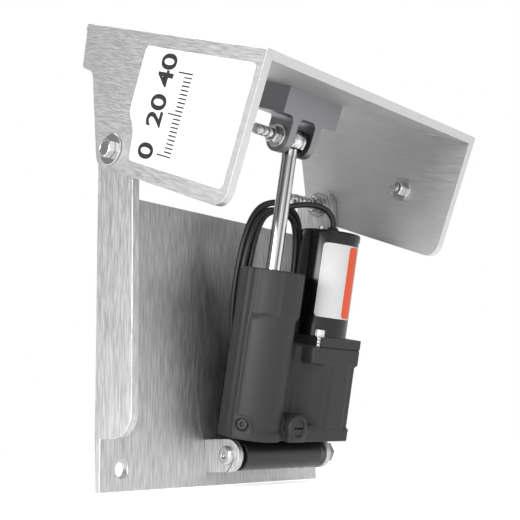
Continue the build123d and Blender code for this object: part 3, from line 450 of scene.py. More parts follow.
def bevelledCopy(node, width):
    # the node's own shape with its edges broken
    mesh = mergedMesh(node)
    softEdges(mesh, smoothAngles["plate"])
    finish = frame["nodes"][node].data.materials[0]
    piece = pieceFromMesh(node + "Dressed", mesh, bodyOf[node], slotOf[node], node, finish=finish)
    bevel = piece.modifiers.new("brokenEdge", "BEVEL")
    bevel.width = width * mm
    bevel.segments = bevelValues["segments"]
    bevel.limit_method = "ANGLE"
    bevel.angle_limit = math.radians(bevelValues["limit"])
    bevel.harden_normals = True


def nodeSpan(node, side=0):
    # lowest and highest corner of a node, or of its left or right half
    points = [v.co for v in frame["nodes"][node].data.vertices if side == 0 or v.co.x * side > 0]
    return [Vector([pick(point[axis] for point in points) for axis in range(3)]) for pick in (min, max)]


def aimed(place, direction, spin=0.0):
    # matrix whose Z points along a direction
    turn = Vector(direction).to_track_quat("Z", "Y").to_matrix().to_4x4()
    return Matrix.Translation(place) @ turn @ Matrix.Rotation(spin, 4, "Z")


def joined(name, parts):
    work = bmesh.new()
    for mesh, matrix in parts:
        copy = mesh.copy()
        copy.transform(matrix)
        work.from_mesh(copy)
        bpy.data.meshes.remove(copy)
    mesh = bpy.data.meshes.new(name)
    work.to_mesh(mesh)
    work.free()
    return mesh


def outwardMesh(name, points, faces):
    # mesh from points and faces, with every face turned outward
    mesh = bpy.data.meshes.new(name)
    mesh.from_pydata([tuple(point) for point in points], [], faces)
    work = bmesh.new()
    work.from_mesh(mesh)
    bmesh.ops.recalc_face_normals(work, faces=work.faces)
    work.to_mesh(mesh)
    work.free()
    return mesh


ringSides = 48


def ringMesh(name, rings, closed):
    # skin over rings of points, capped at its ends, or closed on itself for a bored piece
    points = [point for ring in rings for point in ring]
    faces = []
    count = len(rings)
    for level in range(count if closed else count - 1):
        here, above = level * ringSides, (level + 1) % count * ringSides
        for i in range(ringSides):
            after = (i + 1) % ringSides
            faces.append((here + i, here + after, above + after, above + i))
    if not closed:
        faces.append(tuple(reversed(range(ringSides))))
        faces.append(tuple(range((count - 1) * ringSides, count * ringSides)))
    mesh = outwardMesh(name, points, faces)
    softEdges(mesh, smoothAngles["turned"])
    return mesh


def roundRing(radius, height):
    turns = [2 * math.pi * i / ringSides for i in range(ringSides)]
    return [(radius * math.cos(t), radius * math.sin(t), height) for t in turns]


def hexRing(across, height, crown=0.0, drop=1.0):
    # a hexagon's ring, its corners lowered by the chamfer where they stand past the crown's radius
    ring = []
    for i in range(ringSides):
        turn = 2 * math.pi * i / ringSides
        lean = (turn + math.pi / 6) % (math.pi / 3) - math.pi / 6
        radius = across / 2 / math.cos(lean)
        level = height - drop * max(0.0, radius - crown) * math.tan(math.radians(30)) if crown else height
        ring.append((radius * math.cos(turn), radius * math.sin(turn), level))
    return ring


# shares of a hexagon's width across flats, and of its height
hexValues = {"crown": 0.47, "face": 0.06, "dishRim": 0.9, "dish": 0.86, "dishLevel": 0.97, "mouth": 1.08}


def hexHead(across, height):
    crown = across * hexValues["crown"]
    face = height * hexValues["face"]
    rings = [
        roundRing(crown, 0),
        roundRing(crown, face),
        hexRing(across, face),
        hexRing(across, height, crown),
        roundRing(crown, height),
        roundRing(crown * hexValues["dishRim"], height),
        roundRing(crown * hexValues["dish"], height * hexValues["dishLevel"]),
    ]
    return ringMesh("hexHead", rings, False)


def hexNut(across, height, bore):
    crown = across * hexValues["crown"]
    mouth = bore * hexValues["mouth"]
    rings = [
        roundRing(bore, height * hexValues["face"]),
        roundRing(mouth, 0),
        roundRing(crown, 0),
        hexRing(across, 0, crown, -1.0),
        hexRing(across, height, crown),
        roundRing(crown, height),
        roundRing(mouth, height),
        roundRing(bore, height * (1 - hexValues["face"])),
    ]
    return ringMesh("hexNut", rings, True)


washerEdge = {"share": 0.3, "most": 0.4}


def flatWasher(outer, bore, thickness):
    edge = min(thickness * washerEdge["share"], washerEdge["most"] * mm)
    rings = [
        roundRing(bore, 0),
        roundRing(outer - edge, 0),
        roundRing(outer, edge),
        roundRing(outer, thickness - edge),
        roundRing(outer - edge, thickness),
        roundRing(bore, thickness),
    ]
    return ringMesh("flatWasher", rings, True)


def socketNames(tree):
    return {item.name: item.identifier for item in tree.interface.items_tree
            if item.item_type == "SOCKET" and item.in_out == "INPUT"}


def evaluatedMesh(obj):
    bpy.context.view_layer.update()
    graph = bpy.context.evaluated_depsgraph_get()
    return bpy.data.meshes.new_from_object(obj.evaluated_get(graph))


def grownMesh(tree, values, source=None):
    # runs a node tree on an object of its own and keeps only the plain mesh
    holder = linkedObject("holder", source or bpy.data.meshes.new("holder"))
    modifier = holder.modifiers.new("grown", "NODES")
    modifier.node_group = tree
    names = socketNames(tree)
    for name, value in values.items():
        modifier[names[name]] = value
    mesh = evaluatedMesh(holder)
    bpy.data.objects.remove(holder)
    return mesh


def newTree(name, inputs):
    tree = bpy.data.node_groups.new(name, "GeometryNodeTree")
    tree.interface.new_socket(name="Geometry", in_out="INPUT", socket_type="NodeSocketGeometry")
    for title, kind in inputs.items():
        tree.interface.new_socket(name=title, in_out="INPUT", socket_type="NodeSocket" + kind)
    tree.interface.new_socket(name="Geometry", in_out="OUTPUT", socket_type="NodeSocketGeometry")
    given = tree.nodes.new("NodeGroupInput")
    result = tree.nodes.new("NodeGroupOutput")
    realize = tree.nodes.new("GeometryNodeRealizeInstances")
    paint = tree.nodes.new("GeometryNodeSetMaterial")
    tree.links.new(realize.outputs["Geometry"], paint.inputs["Geometry"])
    tree.links.new(given.outputs["Finish"], paint.inputs["Material"])
    tree.links.new(paint.outputs["Geometry"], result.inputs["Geometry"])
    return tree, given, realize


threadValues = {"depthShare": 0.5, "sunk": 0.85, "stepsPerTurn": 28, "ridgeSides": 4, "coreSides": 32}


def threadTree():
    # a core with one ridge wound round it
    tree, given, realize = newTree("rolledThread", {
        "Radius": "Float", "Pitch": "Float", "Turns": "Float", "Depth": "Float", "Finish": "Material"})
    links = tree.links
    radius, depth = given.outputs["Radius"], given.outputs["Depth"]
    length = mathNode(tree, "MULTIPLY", given.outputs["Pitch"], given.outputs["Turns"])
    root = mathNode(tree, "SUBTRACT", radius, depth)
    middle = mathNode(tree, "SUBTRACT", radius, mathNode(tree, "MULTIPLY", depth, threadValues["sunk"]))
    spiral = tree.nodes.new("GeometryNodeCurveSpiral")
    spiral.inputs["Resolution"].default_value = threadValues["stepsPerTurn"]
    links.new(given.outputs["Turns"], spiral.inputs["Rotations"])
    links.new(middle, spiral.inputs["Start Radius"])
    links.new(middle, spiral.inputs["End Radius"])
    links.new(length, spiral.inputs["Height"])
    ridge = tree.nodes.new("GeometryNodeCurvePrimitiveCircle")
    ridge.inputs["Resolution"].default_value = threadValues["ridgeSides"]
    links.new(depth, ridge.inputs["Radius"])
    wound = tree.nodes.new("GeometryNodeCurveToMesh")
    wound.inputs["Fill Caps"].default_value = True
    links.new(spiral.outputs["Curve"], wound.inputs["Curve"])
    links.new(ridge.outputs["Curve"], wound.inputs["Profile Curve"])
    core = tree.nodes.new("GeometryNodeMeshCylinder")
    core.inputs["Vertices"].default_value = threadValues["coreSides"]
    links.new(root, core.inputs["Radius"])
    links.new(length, core.inputs["Depth"])
    lift = tree.nodes.new("GeometryNodeTransform")
    offset = tree.nodes.new("ShaderNodeCombineXYZ")
    links.new(mathNode(tree, "MULTIPLY", length, 0.5), offset.inputs["Z"])
    links.new(offset.outputs["Vector"], lift.inputs["Translation"])
    links.new(core.outputs["Mesh"], lift.inputs["Geometry"])
    both = tree.nodes.new("GeometryNodeJoinGeometry")
    links.new(wound.outputs["Mesh"], both.inputs["Geometry"])
    links.new(lift.outputs["Geometry"], both.inputs["Geometry"])
    links.new(both.outputs["Geometry"], realize.inputs["Geometry"])
    return tree


def placingTree():
    # one fastener set on every given point, turned by the point's own turn
    inputs = {"Fastener": "Object", "Size": "Float", "Finish": "Material"}
    tree, given, realize = newTree("fastenerRow", inputs)
    links = tree.links
    info = tree.nodes.new("GeometryNodeObjectInfo")
    links.new(given.outputs["Fastener"], info.inputs["Object"])
    turn = tree.nodes.new("GeometryNodeInputNamedAttribute")
    turn.data_type = "FLOAT_VECTOR"
    turn.inputs["Name"].default_value = "turn"
    place = tree.nodes.new("GeometryNodeInstanceOnPoints")
    links.new(given.outputs["Geometry"], place.inputs["Points"])
    links.new(info.outputs["Geometry"], place.inputs["Instance"])
    links.new(turn.outputs["Attribute"], place.inputs["Rotation"])
    links.new(given.outputs["Size"], place.inputs["Scale"])
    links.new(place.outputs["Instances"], realize.inputs["Geometry"])
    return tree


threadNodes = threadTree()
placingNodes = placingTree()


def placedRow(mesh, spots, finish):
    # mesh at every (place, direction, spin) spot
    model = linkedObject("rowModel", mesh)
    points = bpy.data.meshes.new("rowPoints")
    points.from_pydata([tuple(spot[0]) for spot in spots], [], [])
    turns = points.attributes.new("turn", "FLOAT_VECTOR", "POINT")
    for index, spot in enumerate(spots):
        turns.data[index].vector = aimed(*spot).to_euler()
    row = grownMesh(placingNodes, {"Fastener": model, "Size": 1.0, "Finish": finish}, points)
    bpy.data.objects.remove(model)
    softEdges(row, smoothAngles["turned"])
    return row


def threadMesh(radius, length, pitch):
    depth = pitch * threadValues["depthShare"]
    values = {"Radius": radius, "Pitch": pitch, "Turns": length / pitch, "Depth": depth}
    mesh = grownMesh(threadNodes, {**values, "Finish": finishes["stainless"]})
    softEdges(mesh, smoothAngles["thread"])
    return mesh


# plates and machined parts with broken edges
edgeValues = {
    "transom_channel": 0.7,
    "tilt_bracket": 0.7,
    "clevis_block": 0.5,
    "lower_lug_left": 0.6,
    "lower_lug_right": 0.6,
    "rod_eye": 0.5,
    "motor_flange": 0.5,
    "motor_top_cap": 0.4,
    "rod_gland": 0.4,
    "cable_connector": 0.6,
    "lower_pivot_bolt": 0.5,
    "lower_pivot_nut": 0.4,
    "lower_pivot_washers": 0.3,
    "pivot_tube": 0.8,
    "release_valve": 0.6,
    "cable_tie": 0.3,
    "clevis_block_screws": 0.2,
}
for node, width in edgeValues.items():
    bevelledCopy(node, width)
print("plates and machined parts done")

# bolts, nuts and washers
boltValues = {
    "radius": 6.35,
    "pitch": 1.95,
    "shankShare": 0.98,
    "tip": ((0.84, 0.0), (0.84, 0.8), (0.7, 1.2)),
    "tipLength": 1.3,
    "threadPast": 4.0,
    "nutBore": 0.98,
    "sideNutSpin": 0.35,
    "clevisNutSpin": 0.2,
    "washerBore": 6.45,
    "washerThickness": 2.54,
    "flangeWasherShare": 0.78,
}
boltRadius = boltValues["radius"] * mm
tipLength = boltValues["tipLength"] * mm
threadPast = boltValues["threadPast"] * mm
washerThick = boltValues["washerThickness"] * mm


def steelPiece(name, parts, body, node):
    pieceFromMesh(name, joined(name, parts), body, "stainless", node)


def boltAcross(low, high):
    # across flats and centre, from the box of a hexagon whose corners point along Y
    centre = (low + high) / 2
    return high.z - low.z, Vector((0, centre.y, centre.z))


def along(x, centre, direction, spin=0.0):
    # matrix that sets a turned piece on a bolt's line, pointing to +X or -X
    return aimed(Vector((x, 0, 0)) + centre, (direction, 0, 0), spin)


def shankMesh(radius, length):
    return ringMesh("shank", [roundRing(radius, 0), roundRing(radius, length)], False)


def tipMesh():
    rings = [roundRing(boltRadius * share, level * mm) for share, level in boltValues["tip"]]
    return ringMesh("tip", rings, False)


def nutMesh(across, low, high):
    return hexNut(across, high.x - low.x, boltRadius * boltValues["nutBore"])


def washerAt(x, centre, outer, direction):
    return flatWasher(outer, boltValues["washerBore"] * mm, washerThick), along(x, centre, direction)


def hexBolt(headBase, headTop, threadFrom, threadEnd, across, centre, side):
    # head outboard of headBase, threads on the stretch from threadFrom to threadEnd
    shank = shankMesh(boltRadius * boltValues["shankShare"], abs(headBase - threadFrom))
    thread = threadMesh(boltRadius, abs(threadFrom - threadEnd), boltValues["pitch"] * mm)
    return [
        (hexHead(across, abs(headTop - headBase)), along(headBase, centre, side)),
        (thread, along(threadFrom, centre, -side)),
        (shank, along(headBase, centre, -side)),
        (tipMesh(), along(threadEnd, centre, -side)),
    ]


def outerInner(low, high, side):
    # outboard and inboard ends of a box along X
    return (high.x, low.x) if side > 0 else (low.x, high.x)


boltParts, nutSpots, washerParts = [], [], []
for side in (-1, 1):
    bolt, washer, nut = (nodeSpan(node, side) for node in ("pivot_bolts", "pivot_washers", "pivot_nuts"))
    headTop, boltEnd = outerInner(*bolt, side)
    washerOuter, washerInner = outerInner(*washer, side)
    nutOuter, nutInner = outerInner(*nut, side)
    across, centre = boltAcross(*bolt)
    boltParts += hexBolt(washerOuter, headTop, nutInner + side * threadPast, boltEnd + side * tipLength,
                         across, centre, side)
    nutAcross, centre = boltAcross(*nut)
    nutSpots.append((Vector((nutOuter, 0, 0)) + centre, (-side, 0, 0)))
    washerAcross, centre = boltAcross(*washer)
    outer = washerAcross / 2
    washerParts += [
        washerAt(washerOuter, centre, outer, -side),
        washerAt(washerInner, centre, outer * boltValues["flangeWasherShare"], side),
        washerAt(washerInner + side * washerThick, centre, outer, side),
    ]
steelPiece("pivotBolts", boltParts, "base", "pivot_bolts")
nutRow = placedRow(nutMesh(nutAcross, *nut), nutSpots, finishes["stainless"])
pieceFromMesh("pivotNuts", nutRow, "base", "stainless", "pivot_nuts")
steelPiece("pivotWashers", washerParts, "base", "pivot_washers")

# bolt in the bracket's right flange
boltLow, boltHigh = nodeSpan("side_bolt")
washerLow, washerHigh = nodeSpan("side_washers")
nutLow, nutHigh = nodeSpan("side_nut")
across, centre = boltAcross(boltLow, boltHigh)
outer = (washerHigh.z - washerLow.z) / 2
steelPiece("sideBolt", hexBolt(washerHigh.x, boltHigh.x, nutLow.x + threadPast, boltLow.x + tipLength,
                               across, centre, 1), "bracket", "side_bolt")
steelPiece("sideNut", [
    (nutMesh(across, nutLow, nutHigh), along(nutHigh.x, centre, -1, boltValues["sideNutSpin"])),
], "bracket", "side_nut")
steelPiece("sideWashers", [
    washerAt(washerHigh.x, centre, outer, -1),
    washerAt(washerLow.x, centre, outer, 1),
], "bracket", "side_washers")

# clevis bolt's two ends, its nut and washers
headLow, headHigh = nodeSpan("clevis_bolt_head_end")
endLow, endHigh = nodeSpan("clevis_bolt_thread_end")
nutLow, nutHigh = nodeSpan("clevis_nut")
washerLow, washerHigh = nodeSpan("clevis_washers")
across, centre = boltAcross(headLow, headHigh)
outer = (washerHigh.z - washerLow.z) / 2
threadFrom = nutLow.x + threadPast
threadEnd = endLow.x + tipLength
steelPiece("clevisBoltHead", [
    (hexHead(across, headHigh.x - washerHigh.x), along(washerHigh.x, centre, 1)),
    (shankMesh(boltRadius, washerHigh.x - headLow.x), along(headLow.x, centre, 1)),
], "bracket", "clevis_bolt_head_end")
steelPiece("clevisBoltEnd", [
    (threadMesh(boltRadius, threadFrom - endLow.x - tipLength, boltValues["pitch"] * mm),
     along(threadFrom, centre, -1)),
    (tipMesh(), along(threadEnd, centre, -1)),
    (shankMesh(boltRadius, endHigh.x - threadFrom), along(threadFrom, centre, 1)),
], "bracket", "clevis_bolt_thread_end")
steelPiece("clevisNut", [
    (nutMesh(across, nutLow, nutHigh), along(nutHigh.x, centre, -1, boltValues["clevisNutSpin"])),
], "bracket", "clevis_nut")
steelPiece("clevisWashers", [
    washerAt(washerLow.x, centre, outer, 1),
    washerAt(washerHigh.x, centre, outer, -1),
], "bracket", "clevis_washers")
print("bolts, nuts and washers done")

# cylinder casting, rounded like a sand casting: lengths in the ram's axes across, back and height
castValues = {
    "grid": 1.5,
    "smooth": 0.5,
    "passes": 3,
    "axisX": 6.0,
    "barrel": 36.0,
    "roundSides": 40,
    "collar": {"reach": 39.3, "from": 206.0, "to": 312.0, "steps": 24, "low": 168.5, "high": 220.8},
    "web": {"outline": (20.0, 58.0, -13.5, 10.0), "low": 30.0, "high": 136.0},
    "boss": {"outer": 16.6, "bore": 9.6, "back": -20.0, "front": -40.6},
    "band": {"radius": 38.4, "low": 22.3, "high": 32.0},
    "edgeBead": {"x": 57.0, "back": -14.0, "radius": 3.0, "sides": 16, "low": 46.0, "high": 136.0},
    "waist": {"lower": (60.0, 147.0, -38.4, 20.0), "upper": (70.0, 131.0, -36.0, 20.0),
              "low": 36.5, "high": 43.0},
    "lip": {"outer": 13.2, "bore": 9.9, "back": -37.0, "front": -42.4},
    "valve": (46.5, 39.1),
    "arch": {"turn": 208.0, "width": 10.0, "foot": 24.0, "top": 48.0, "stand": 0.6, "steps": 12, "bead": 2.1},
    "collarRib": {"route": ((-4.5, -37.5, 178.0), (-4.5, -37.5, 217.0)), "bead": 1.0},
    "collarDot": {"route": ((18.0, -37.4, 175.0),) * 2, "bead": 1.5},
    "beadStep": 0.7,
}


def ramPrism(low, high, lowLevel, highLevel):
    # solid between two outlines of the same number of points
    points = [ramPoint(*point, lowLevel) for point in low] + [ramPoint(*point, highLevel) for point in high]
    count = len(low)
    faces = [(i, (i + 1) % count, count + (i + 1) % count, count + i) for i in range(count)]
    faces += [tuple(reversed(range(count))), tuple(range(count, 2 * count))]
    return outwardMesh("ramPrism", points, faces)


def circleOutline(x, back, radius, sides):
    turns = [2 * math.pi * i / sides for i in range(sides)]
    return [(x + radius * math.cos(turn), back + radius * math.sin(turn)) for turn in turns]


def boxOutline(left, right, front, rear):
    return [(left, front), (right, front), (right, rear), (left, rear)]


def beadRow(route, radius):
    # overlapping balls along a route
    work = bmesh.new()
    for start, end in zip(route, route[1:]):
        steps = max(1, int((end - start).length / (radius * mm * castValues["beadStep"])))
        for step in range(steps + 1):
            bmesh.ops.create_icosphere(work, subdivisions=2, radius=radius * mm,
                                       matrix=Matrix.Translation(start.lerp(end, step / steps)))
    mesh = bpy.data.meshes.new("beadRow")
    work.to_mesh(mesh)
    work.free()
    return mesh


def archRoute(values):
    # raised arch round the plug, laid on the barrel's round face
    arch, barrel = values["arch"], values["barrel"]
    width = arch["width"]
    flat = [(-width, arch["foot"])]
    for i in range(arch["steps"] + 1):
        turn = math.pi * i / arch["steps"]
        flat.append((-width * math.cos(turn), arch["top"] - width + width * math.sin(turn)))
    flat.append((width, arch["foot"]))
    route = []
    for around, height in flat:
        angle = math.radians(arch["turn"]) + around / barrel
        reach = barrel + arch["stand"]
        route.append(ramPoint(values["axisX"] + reach * math.cos(angle), reach * math.sin(angle), height))
    return route


def valveRing(name, ring, values):
    # bored disc round the release valve, from its front face backward
    outer, bore, depth = ring["outer"] * mm, ring["bore"] * mm, (ring["back"] - ring["front"]) * mm
    rings = [roundRing(bore, 0), roundRing(outer, 0), roundRing(outer, depth), roundRing(bore, depth)]
    x, level = values["valve"]
    return ringMesh(name, rings, True), aimed(ramPoint(x, ring["front"], level), ramBack)


def collarOutline(values):
    collar, axisX = values["collar"], values["axisX"]
    outline = [(axisX, 0)]
    for i in range(collar["steps"] + 1):
        turn = math.radians(collar["from"] + (collar["to"] - collar["from"]) * i / collar["steps"])
        outline.append((axisX + collar["reach"] * math.cos(turn), collar["reach"] * math.sin(turn)))
    return outline


def castForms(values):
    # raised forms of the casting, each with the matrix that sets it in place
    still = Matrix.Identity(4)
    band, bead, waist = values["band"], values["edgeBead"], values["waist"]
    collar = collarOutline(values)
    web = boxOutline(*values["web"]["outline"])
    bandRound = circleOutline(values["axisX"], 0, band["radius"], values["roundSides"])
    beadRound = circleOutline(bead["x"], bead["back"], bead["radius"], bead["sides"])
    prisms = [
        (collar, collar, values["collar"]),
        (web, web, values["web"]),
        (bandRound, bandRound, band),
        (beadRound, beadRound, bead),
        (boxOutline(*waist["lower"]), boxOutline(*waist["upper"]), waist),
    ]
    forms = [(ramPrism(low, high, form["low"], form["high"]), still) for low, high, form in prisms]
    forms += [valveRing("boss", values["boss"], values), valveRing("valveLip", values["lip"], values)]
    forms.append((beadRow(archRoute(values), values["arch"]["bead"]), still))
    for name in ("collarRib", "collarDot"):
        route = [ramPoint(*point) for point in values[name]["route"]]
        forms.append((beadRow(route, values[name]["bead"]), still))
    return forms


def roundedCasting(values):
    parts = [(mergedMesh("cylinder_casting"), Matrix.Identity(4))] + castForms(values)
    piece = pieceFromMesh("cylinderCasting", joined("cylinderCasting", parts), "ram", "black_casting",
                          "cylinder_casting")
    remesh = piece.modifiers.new("castSkin", "REMESH")
    remesh.mode = "VOXEL"
    remesh.voxel_size = values["grid"] * mm
    remesh.use_smooth_shade = True
    smooth = piece.modifiers.new("softened", "SMOOTH")
    smooth.factor = values["smooth"]
    smooth.iterations = values["passes"]
    skin = evaluatedMesh(piece)
    piece.modifiers.clear()
    piece.data = skin
    skin.shade_smooth()
    print("casting faces", len(skin.polygons))


roundedCasting(castValues)

# screws that clamp the motor, with their washer faces and rolled threads
motorScrewValues = {
    "spots": ((66.5, -34.5), (137.5, 26.0)),
    "seat": 150.0,
    "washerRadius": 7.2,
    "washerHeight": 1.4,
    "across": 11.6,
    "headHeight": 7.2,
    "headSpin": 0.3,
    "radius": 3.0,
    "reach": 22.0,
    "pitch": 1.0,
}


def motorScrews(values):
    radius = values["radius"] * mm
    washerHeight = values["washerHeight"] * mm
    parts = []
    for x, back in values["spots"]:
        seat = ramPoint(x, back, values["seat"])
        top = ramPoint(x, back, values["seat"] + values["washerHeight"])
        head = hexHead(values["across"] * mm, values["headHeight"] * mm)
        parts += [
            (flatWasher(values["washerRadius"] * mm, radius, washerHeight), aimed(seat, ramUp)),
            (head, aimed(top, ramUp, values["headSpin"])),
            (threadMesh(radius, values["reach"] * mm, values["pitch"] * mm), aimed(seat, -ramUp)),
        ]
    steelPiece("motorScrews", parts, "ram", "motor_screws")


motorScrews(motorScrewValues)

# ribbed grommet and small screw on the motor's cap, and the plug in the barrel's foot
capValues = {
    "grommet": (104.0, -1.0, 282.0),
    "profile": (
        (8.4, 0.0), (8.4, 1.4), (7.2, 1.7), (7.2, 2.3), (7.9, 2.6), (7.9, 3.6),
        (6.6, 3.9), (6.6, 4.5), (7.2, 4.8), (6.6, 5.7), (4.6, 6.0),
    ),
    "screw": (71.5, -9.0, 281.0),
    "screwProfile": ((2.8, 0.0), (2.8, 4.4), (2.3, 5.2), (1.2, 5.5)),
}
plugValues = {
    "level": 40.0,
    "profile": ((6.4, -4.0), (6.4, 0.4), (5.7, 1.0), (3.0, 1.1), (2.6, -1.4), (0.4, -1.8)),
}


def turnedPiece(name, profile, place, out, slotName, *nodes):
    rings = [roundRing(radius * mm, height * mm) for radius, height in profile]
    mesh = joined(name, [(ringMesh("turned", rings, False), aimed(place, out))])
    pieceFromMesh(name, mesh, "ram", slotName, *nodes)


plugTurn = math.radians(castValues["arch"]["turn"])
plugOut = Vector((1, 0, 0)) * math.cos(plugTurn) + ramBack * math.sin(plugTurn)
plugPlace = ramPoint(castValues["axisX"] + castValues["barrel"] * math.cos(plugTurn),
                     castValues["barrel"] * math.sin(plugTurn), plugValues["level"])
turnedPiece("cableGrommet", capValues["profile"], ramPoint(*capValues["grommet"]), ramUp,
            slotOf["cable_grommet"], "cable_grommet")
turnedPiece("capScrew", capValues["screwProfile"], ramPoint(*capValues["screw"]), ramUp, "stainless")
turnedPiece("fillerPlug", plugValues["profile"], plugPlace, plugOut, "black_casting", "filler_plug")
print("casting, motor screws and cap done")

# label films with rounded corners
filmValues = {
    "corner": 5.0,
    "cornerShare": 2.2,
    "columns": 48,
    "stripeInset": 1.2,
    "lift": 0.1,
    "canBack": -1.0,
    "canX": 102.0,
    "sideCorner": 7.0,
    "sideCornerSteps": 6,
    "wallReach": 0.0001,
    "wallTurn": 0.3,
}


def ramPlace(point):
    # back from a place in space to across, back and height on the ram, in millimetres
    offset = point - lowerPivot
    return offset.x / mm, offset.dot(ramBack) / mm, offset.dot(ramUp) / mm


def canSpan(node):
    # lowest and highest turn, height and radius that a node covers round the motor's axis
    places = [ramPlace(vertex.co) for vertex in frame["nodes"][node].data.vertices]
    offsets = [(x - filmValues["canX"], back - filmValues["canBack"]) for x, back, height in places]
    turns = [math.atan2(back, x) for x, back in offsets]
    radii = [math.hypot(*offset) for offset in offsets]
    heights = [height for x, back, height in places]
    return [(min(found), max(found)) for found in (turns, heights, radii)]


def canFilm(name, node, turns, heights, radii, slotName):
    # film bent round the motor's can, its columns drawn in at the rounded corners
    (start, end), (low, high), (inner, outer) = turns, heights, radii
    middle = (inner + outer) / 2
    corner = min(filmValues["corner"], (end - start) * middle / filmValues["cornerShare"])
    points = []
    columns = filmValues["columns"]
    for column in range(columns + 1):
        share = (1 - math.cos(math.pi * column / columns)) / 2
        angle = start + (end - start) * share
        edge = min(angle - start, end - angle) * middle
        cut = corner - math.sqrt(max(0.0, corner ** 2 - max(0.0, corner - edge) ** 2))
        bottom, top = low + cut, high - cut
        for radius, height in ((outer, bottom), (outer, top), (inner, top), (inner, bottom)):
            points.append(ramPoint(filmValues["canX"] + radius * math.cos(angle),
                                   filmValues["canBack"] + radius * math.sin(angle), height))
    faces = [(0, 1, 2, 3), tuple(reversed(range(4 * columns, 4 * columns + 4)))]
    for column in range(columns):
        here, after = 4 * column, 4 * column + 4
        for i in range(4):
            faces.append((here + i, after + i, after + (i + 1) % 4, here + (i + 1) % 4))
    mesh = outwardMesh(name, points, faces)
    softEdges(mesh, smoothAngles["film"])
    pieceFromMesh(name, mesh, "ram", slotName, node)


whiteTurns, whiteHeights, whiteRadii = canSpan("motor_label")
stripeTurns, stripeHeights = canSpan("motor_label_stripe")[:2]
filmTurns = (min(whiteTurns[0], stripeTurns[0]), max(whiteTurns[1], stripeTurns[1]))
canFilm("motorLabel", "motor_label", filmTurns, whiteHeights, whiteRadii, "label_white")
inset = filmValues["stripeInset"]
insetTurn = inset / whiteRadii[1]
canFilm("motorLabelStripe", "motor_label_stripe",
        (stripeTurns[0] + insetTurn, stripeTurns[1] - insetTurn),
        (stripeHeights[0] + inset, stripeHeights[1] - inset),
        (whiteRadii[1], whiteRadii[1] + filmValues["lift"]), "label_orange")


def sideFilm(values):
    # the flange's label, the corners of its outline rounded
    mesh = mergedMesh("side_label")
    work = bmesh.new()
    work.from_mesh(mesh)
    corners = []
    for edge in work.edges:
        start, end = (vertex.co.x for vertex in edge.verts)
        if abs(start - end) > values["wallReach"] and edge.calc_face_angle(0) > values["wallTurn"]:
            corners.append(edge)
    bmesh.ops.bevel(work, geom=corners, offset=values["sideCorner"] * mm, segments=values["sideCornerSteps"],
                    profile=0.5, affect="EDGES", clamp_overlap=True)
    work.to_mesh(mesh)
    work.free()
    softEdges(mesh, smoothAngles["film"])
    pieceFromMesh("sideLabel", mesh, "bracket", "label_white", "side_label")


sideFilm(filmValues)

# plain tilt scale printed on the side label: numbers and ticks
scaleValues = {
    "numbers": ("40", "20", "0"),
    "step": 44.0,
    "deepLow": 38.0,
    "numberAlong": 130.0,
    "tickAlong": 98.0,
    "numberSize": 36.0,
    "weight": 0.9,
    "ticks": 10,
    "longTick": 24.0,
    "shortTick": 13.0,
    "tickWidth": 1.6,
    "thickness": 0.06,
}


def numberMesh(label, values):
    text = bpy.data.curves.new("scaleNumber", "FONT")
    text.body = label
    text.size = values["numberSize"] * mm
    text.align_x = "CENTER"
    text.offset = values["weight"] * mm
    text.extrude = values["thickness"] * mm
    holder = linkedObject("scaleNumber", text)
    mesh = evaluatedMesh(holder)
    bpy.data.objects.remove(holder)
    return mesh


def tickMesh(length, values):
    size = Vector((values["tickWidth"], length, 2 * values["thickness"])) * mm
    bar = bpy.data.meshes.new("scaleTick")
    work = bmesh.new()
    bmesh.ops.create_cube(work, size=1.0, matrix=Matrix.Diagonal((*size, 1)))
    work.to_mesh(bar)
    work.free()
    return bar


def printedScale(values):
    face = nodeSpan("side_label")[0].x / mm
    turn = Matrix((-webDeep, webAlong, Vector((-1, 0, 0)))).transposed().to_4x4()
    last = len(values["numbers"]) - 1
    parts = []
    for index, label in enumerate(values["numbers"]):
        deep = values["deepLow"] + index * values["step"]
        place = bracketPoint(face, values["numberAlong"], deep)
        parts.append((numberMesh(label, values), Matrix.Translation(place) @ turn))
        for tick in range(values["ticks"] if index < last else 1):
            length = values["shortTick"] if tick else values["longTick"]
            tickDeep = deep + tick * values["step"] / values["ticks"]
            place = bracketPoint(face, values["tickAlong"] + length / 2, tickDeep)
            parts.append((tickMesh(length, values), Matrix.Translation(place) @ turn))
    pieceFromMesh("sideScale", joined("sideScale", parts), "bracket", "label_white", finish=finishes["label_ink"])


printedScale(scaleValues)
print("labels done")

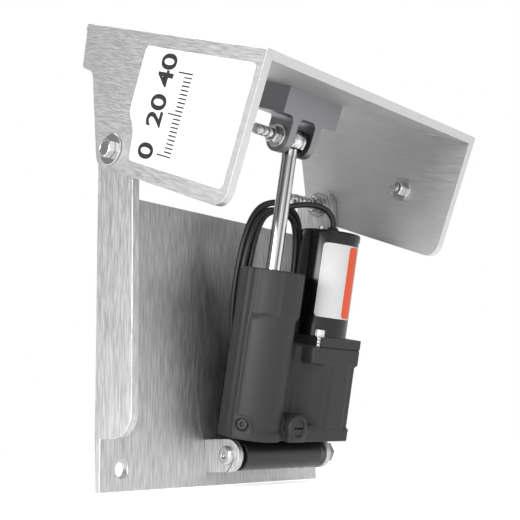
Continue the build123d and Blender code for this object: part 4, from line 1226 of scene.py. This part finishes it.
# motor lead and its coil, one cord: points in the ram's axes across, back and height, in millimetres
cordValues = {
    "diameter": 7.5,
    "length": 1.8,
    "lead": (
        (104.0, -1.0, 288.0), (104.0, -1.0, 294.0), (99.9, 1.9, 303.8), (92.0, 7.5, 310.9),
        (80.7, 15.5, 313.3), (66.3, 25.7, 310.6), (52.8, 36.2, 305.0), (46.0, 41.0, 301.5),
    ),
    "turns": 3.3,
    "perTurn": 16,
    "laneSteps": 4,
    "fan": 0.45,
    "fanTurn": 0.1,
    "backFan": 1.1,
    "middle": (47.0, 206.0),
    "halfWidth": 47.0,
    "limb": 51.0,
    "back": 45.8,
    "lanes": ((-4.0, -4.4), (4.2, -4.0), (4.2, 4.2), (-4.2, 4.4)),
    "tail": ((13.0, 48.5, 143.0), (29.0, 47.5, 130.0), (44.0, 46.5, 124.5), (57.0, 45.8, 126.0)),
    "sides": 4,
    "smooth": 8,
}


def ovalPoint(turn, radial, back, values):
    # place on the coil's oval, turn 0 at its top and growing towards the left limb
    angle = math.pi / 2 + 2 * math.pi * turn
    width = values["halfWidth"] + radial
    x = values["middle"][0] + width * math.cos(angle)
    limb = values["limb"] * max(-1, min(1, 2 * math.sin(angle)))
    return x, values["back"] + back, values["middle"][1] + limb + width * math.sin(angle)


def cordRoute(values):
    # lead off the cap, then turns that change lanes one after another, then the tail to the connector
    route = list(values["lead"])
    steps = int(values["turns"] * values["perTurn"])
    for step in range(1, steps + 1):
        turn = step / values["perTurn"]
        lane = min(len(values["lanes"]) - 1, int(turn))
        share = min(1.0, max(0.0, (turn - lane) * values["perTurn"] / values["laneSteps"]))
        before = values["lanes"][max(0, lane - 1)]
        here = values["lanes"][lane]
        fan = 1 + values["fan"] * max(0.0, math.cos(2 * math.pi * (turn - values["fanTurn"])))
        radial = (before[0] + (here[0] - before[0]) * share) * fan
        back = (before[1] + (here[1] - before[1]) * share) * min(fan, values["backFan"])
        route.append(ovalPoint(turn, radial, back, values))
    return route + list(values["tail"])


def layCord(values):
    points = cordRoute(values)
    data = bpy.data.curves.new("motorLead", "CURVE")
    data.dimensions = "3D"
    data.bevel_depth = values["diameter"] / 2 * mm
    data.bevel_resolution = values["sides"]
    data.resolution_u = values["smooth"]
    data.use_fill_caps = True
    spline = data.splines.new("NURBS")
    spline.points.add(len(points) - 1)
    for place, point in zip(spline.points, points):
        place.co = (*ramPoint(*point), 1)
    spline.order_u = 3
    spline.use_endpoint_u = True
    data.materials.append(finishes["cable_sheath"])
    lead = linkedObject("motorLead", data)
    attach(lead, "ram")
    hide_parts("motor_cable", "cable_coil")
    return lead


lead = layCord(cordValues)
print("lead laid")
